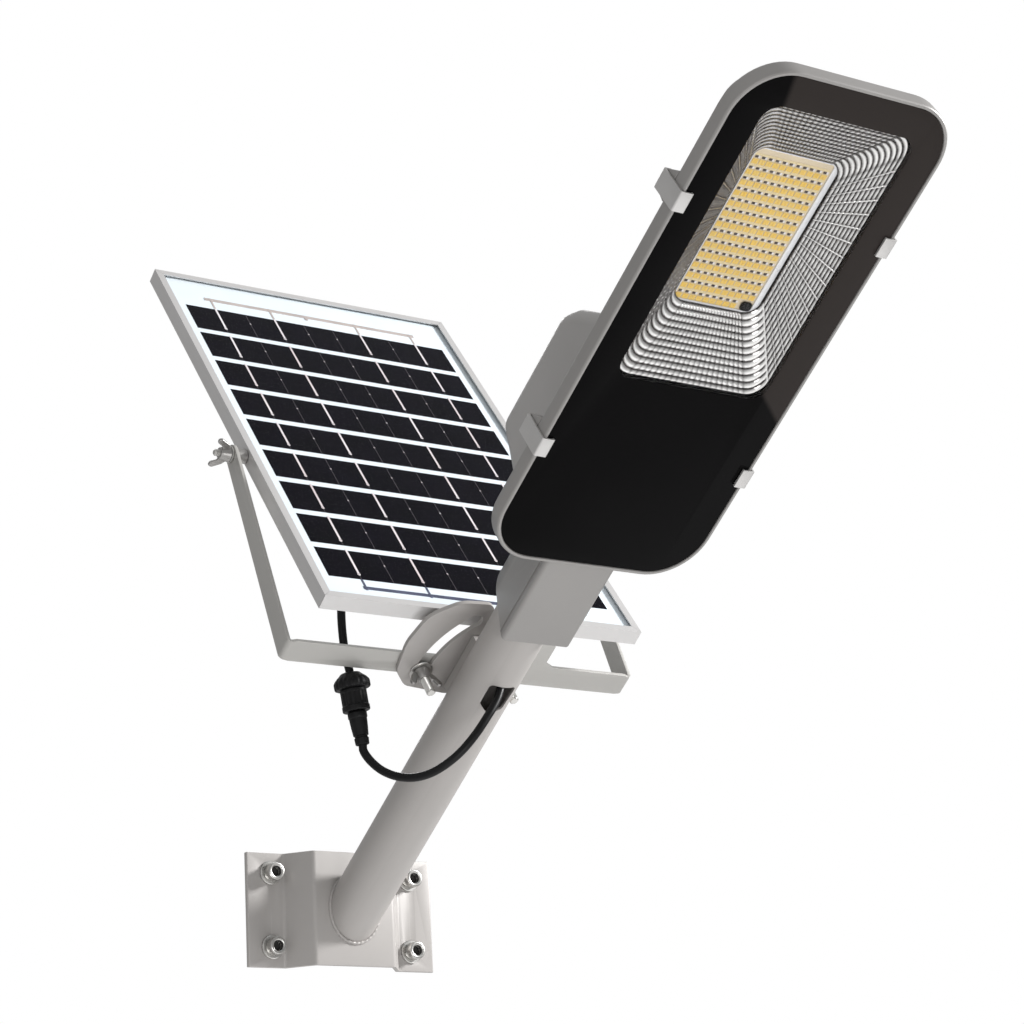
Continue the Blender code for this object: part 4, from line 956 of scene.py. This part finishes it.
# the bottom of the well and the wall below it are painted in full shade
rings.append([(x, a, n, 0.0) for x, a, n, painted_tone, on_rib in terrace_loop(1, WELL_HEIGHT)])
rings.append([(x, a, 3.4, 0.0) for x, a, n, painted_tone in rings[-1]])
rings.insert(0, [(x * 1.035, WINDOW_MIDDLE + (a - WINDOW_MIDDLE) * 1.02, RIM_HEIGHT, 0.2)
                 for x, a, n, painted_tone in rings[0]])
mesh = bpy.data.meshes.new("stepped_reflector")
work = bmesh.new()
painted_light_layer = work.verts.layers.float.new("painted_light")
rows = []
for ring in rings:
    row = []
    for x, a, n, painted_tone in ring:
        vertex = work.verts.new((x * MM, a * MM, min(n, RIM_HEIGHT + 0.3) * MM))
        # the painted light value is stored on each vertex for the material's painted crease shade
        vertex[painted_light_layer] = painted_tone
        row.append(vertex)
    rows.append(row)
for lower, upper in zip(rows, rows[1:]):
    for i in range(len(lower)):
        j = (i + 1) % len(lower)
        work.faces.new((lower[i], lower[j], upper[j], upper[i]))
bmesh.ops.recalc_face_normals(work, faces=work.faces)
work.to_mesh(mesh)
work.free()
reflector = smooth(add_object("stepped_reflector", mesh, ARM), 40)
piece(reflector, MIRROR, "lamp", "reflector")

# ---------------------------------------------------------------- light board
board_corners = [(-39.4, 682.8), (40.6, 682.8), (40.6, 824.2), (-39.4, 824.2)]
board = flat("light_panel", [rounded(board_corners, [4, 8, 4, 8], 10)], 4.3, 5.9, ARM, 0.2)
piece(board, BOARD, "lamp", "led_board")
well_corners = [(-38.6, 685.4), (35.4, 685.4), (35.4, 823.2), (-38.6, 823.2)]
rim_loops = [rounded(board_corners, [4, 8, 4, 8], 10), rounded(well_corners, [3, 3, 3, 7.4], 10)]
piece(flat("board_rim", rim_loops, 5.9, 7.3, ARM, 0.35), WHITE_EDGE, "lamp")
packages = bmesh.new()
phosphor = bmesh.new()
resistors = bmesh.new()
patches = bmesh.new()
for row in range(14):
    dot_a = 691.7 + 9.5 * row
    for column in range(11):
        x = -34.6 + 6.55 * column
        if row == 0 and column > 8:
            continue
        slab(packages, x - 2.9, x + 2.9, dot_a - 6.3, dot_a - 1.5, 5.9, 6.4)
        slab(phosphor, x - 2.6, x - 0.15, dot_a - 5.9, dot_a - 1.9, 6.4, 6.65)
        slab(phosphor, x + 0.15, x + 2.6, dot_a - 5.9, dot_a - 1.9, 6.4, 6.65)
        slab(resistors, x - 1.7, x + 0.9, dot_a - 0.8, dot_a + 0.9, 5.9, 6.5)
        slab(patches, x + 0.9, x + 2.9, dot_a - 0.9, dot_a + 1.0, 5.9, 6.35)
        if dot_a + 5.6 < 823:
            slab(packages, x - 2.9, x + 2.9, dot_a + 1.3, dot_a + 2.9, 5.9, 6.2)
piece(from_bmesh("chip_packages", packages, ARM), PACKAGE, "lamp")
piece(from_bmesh("chip_phosphor", phosphor, ARM), PHOSPHOR, "lamp")
piece(from_bmesh("chip_resistors", resistors, ARM), DARK_CHIP, "lamp")
piece(from_bmesh("solder_patches", patches, ARM), SOLDER, "lamp")
sensor = flat("sensor_window", [rectangle(24.4, 34.2, 685.6, 693.6, 2.8)], 5.9, 8.6, ARM, 1.0, 4)
piece(sensor, PLASTIC, "lamp", "light_sensor")

# ---------------------------------------------------------------- battery compartment
cover_profile = [(467.5, 26), (474, -6), (498, -65), (609.6, -65), (624.5, -51.6), (640.5, -25), (651, -6),
                 (660, 26)]
cover = flat("compartment_shell", [cover_profile], -72, 72, SIDE)
bevelled(cover, 11, 8, 30)
cut(cover, block("trim", (-100, 100), (450, 680), (-6.2, 60), ARM))
piece(smooth(cover, 30), COVER_CAST, "lamp", "battery_cover")

# ---------------------------------------------------------------- glass clips
CLIP_RADII = [0.4, 1.4, 1.6, 0.7, 0.5, 0.5, 0.6, 0.5, 0.4, 0.4]
clip_section = [(96.8, 3.2), (103.6, 3.2), (103.6, 35.6), (92, 35.6), (92, 33.1), (93.6, 33.1),
                (93.6, 34.1), (101.9, 34.1), (101.9, 4.7), (96.8, 4.7)]
for number, (sign, a) in enumerate(clips, 1):
    section = rounded([(sign * x, -n) for x, n in clip_section], CLIP_RADII, 5)
    clip = flat(f"spring_clip_{number}", [section], a - 8.5, a + 8.5, TUBE, 0.3)
    piece(clip, CLIP, "lamp", f"glass_clip_{number}")

# ---------------------------------------------------------------- CAD nodes that stay
finishes = {"frame_rail": RAIL, "junction": PLASTIC, "glass_gasket": RUBBER, "battery_pack": WRAP,
            "control_board": CIRCUIT, "cover_screw": ZINC, "socket_screw": CAST_ZINC}
for name, node in nodes.items():
    for start, material in finishes.items():
        if name.startswith(start):
            node.data.materials.clear()
            node.data.materials.append(material)
for name in ("frame_rail_top", "frame_rail_bottom", "frame_rail_left", "frame_rail_right"):
    modifier = nodes[name].modifiers.new("Bevel", "BEVEL")
    modifier.width = 0.35 * MM
    modifier.segments = 2
    modifier.limit_method = "ANGLE"
    modifier.angle_limit = math.radians(40)

# ---------------------------------------------------------------- floor, world and lights
FLOOR_SIZE, FLOOR_HEIGHT = 30, -1.8
floor_mesh = bpy.data.meshes.new("floor")
work = bmesh.new()
bmesh.ops.create_grid(work, x_segments=1, y_segments=1, size=FLOOR_SIZE)
work.to_mesh(floor_mesh)
work.free()
floor = add_object("floor", floor_mesh, Matrix.Translation((0, 0, FLOOR_HEIGHT)))
coat(floor, surface("floor_paint", (0.97, 0.97, 0.97), 0.7, 0.0, 0.01, 2, 200, 0.02))

world = bpy.data.worlds.new("studio")
bpy.context.scene.world = world
world.use_nodes = True
tree = world.node_tree
background = tree.nodes["Background"]
direction = tree.nodes.new("ShaderNodeTexCoord")
split = tree.nodes.new("ShaderNodeSeparateXYZ")
tree.links.new(direction.outputs["Generated"], split.inputs["Vector"])
sky = ranged(tree, split.outputs["Z"], -0.1, 0.62, -1.0, 1.0)
path = tree.nodes.new("ShaderNodeLightPath")
tree.links.new(mixed(tree, path.outputs["Is Camera Ray"], sky, (1, 1, 1)), background.inputs["Color"])
background.inputs["Strength"].default_value = 1.0


def area_light(name, location, target, size, power, colour=(1, 1, 1)):
    data = bpy.data.lights.new(name, "AREA")
    data.shape = "RECTANGLE"
    data.size, data.size_y = size
    data.energy = power
    data.color = colour
    light = bpy.data.objects.new(name, data)
    bpy.context.scene.collection.objects.link(light)
    light.location = location
    aim = Vector(target) - Vector(location)
    light.rotation_euler = aim.to_track_quat("-Z", "Y").to_euler()


area_light("key", (2.5, -1.5, 1.25), (0, -0.3, 0.2), (0.6, 0.6), 142)
area_light("left_fill", (-2.2, -1.7, 0.5), (0, -0.3, 0.25), (1.6, 1.6), 4)
area_light("under_fill", (-0.3, -1.9, -0.5), (0, -0.6, 0.45), (0.6, 0.5), 6)
area_light("back_rim", (0.9, 1.6, 1.4), (0, -0.2, 0.3), (1.0, 1.0), 14)
bpy.context.scene.view_settings.view_transform = "Standard"
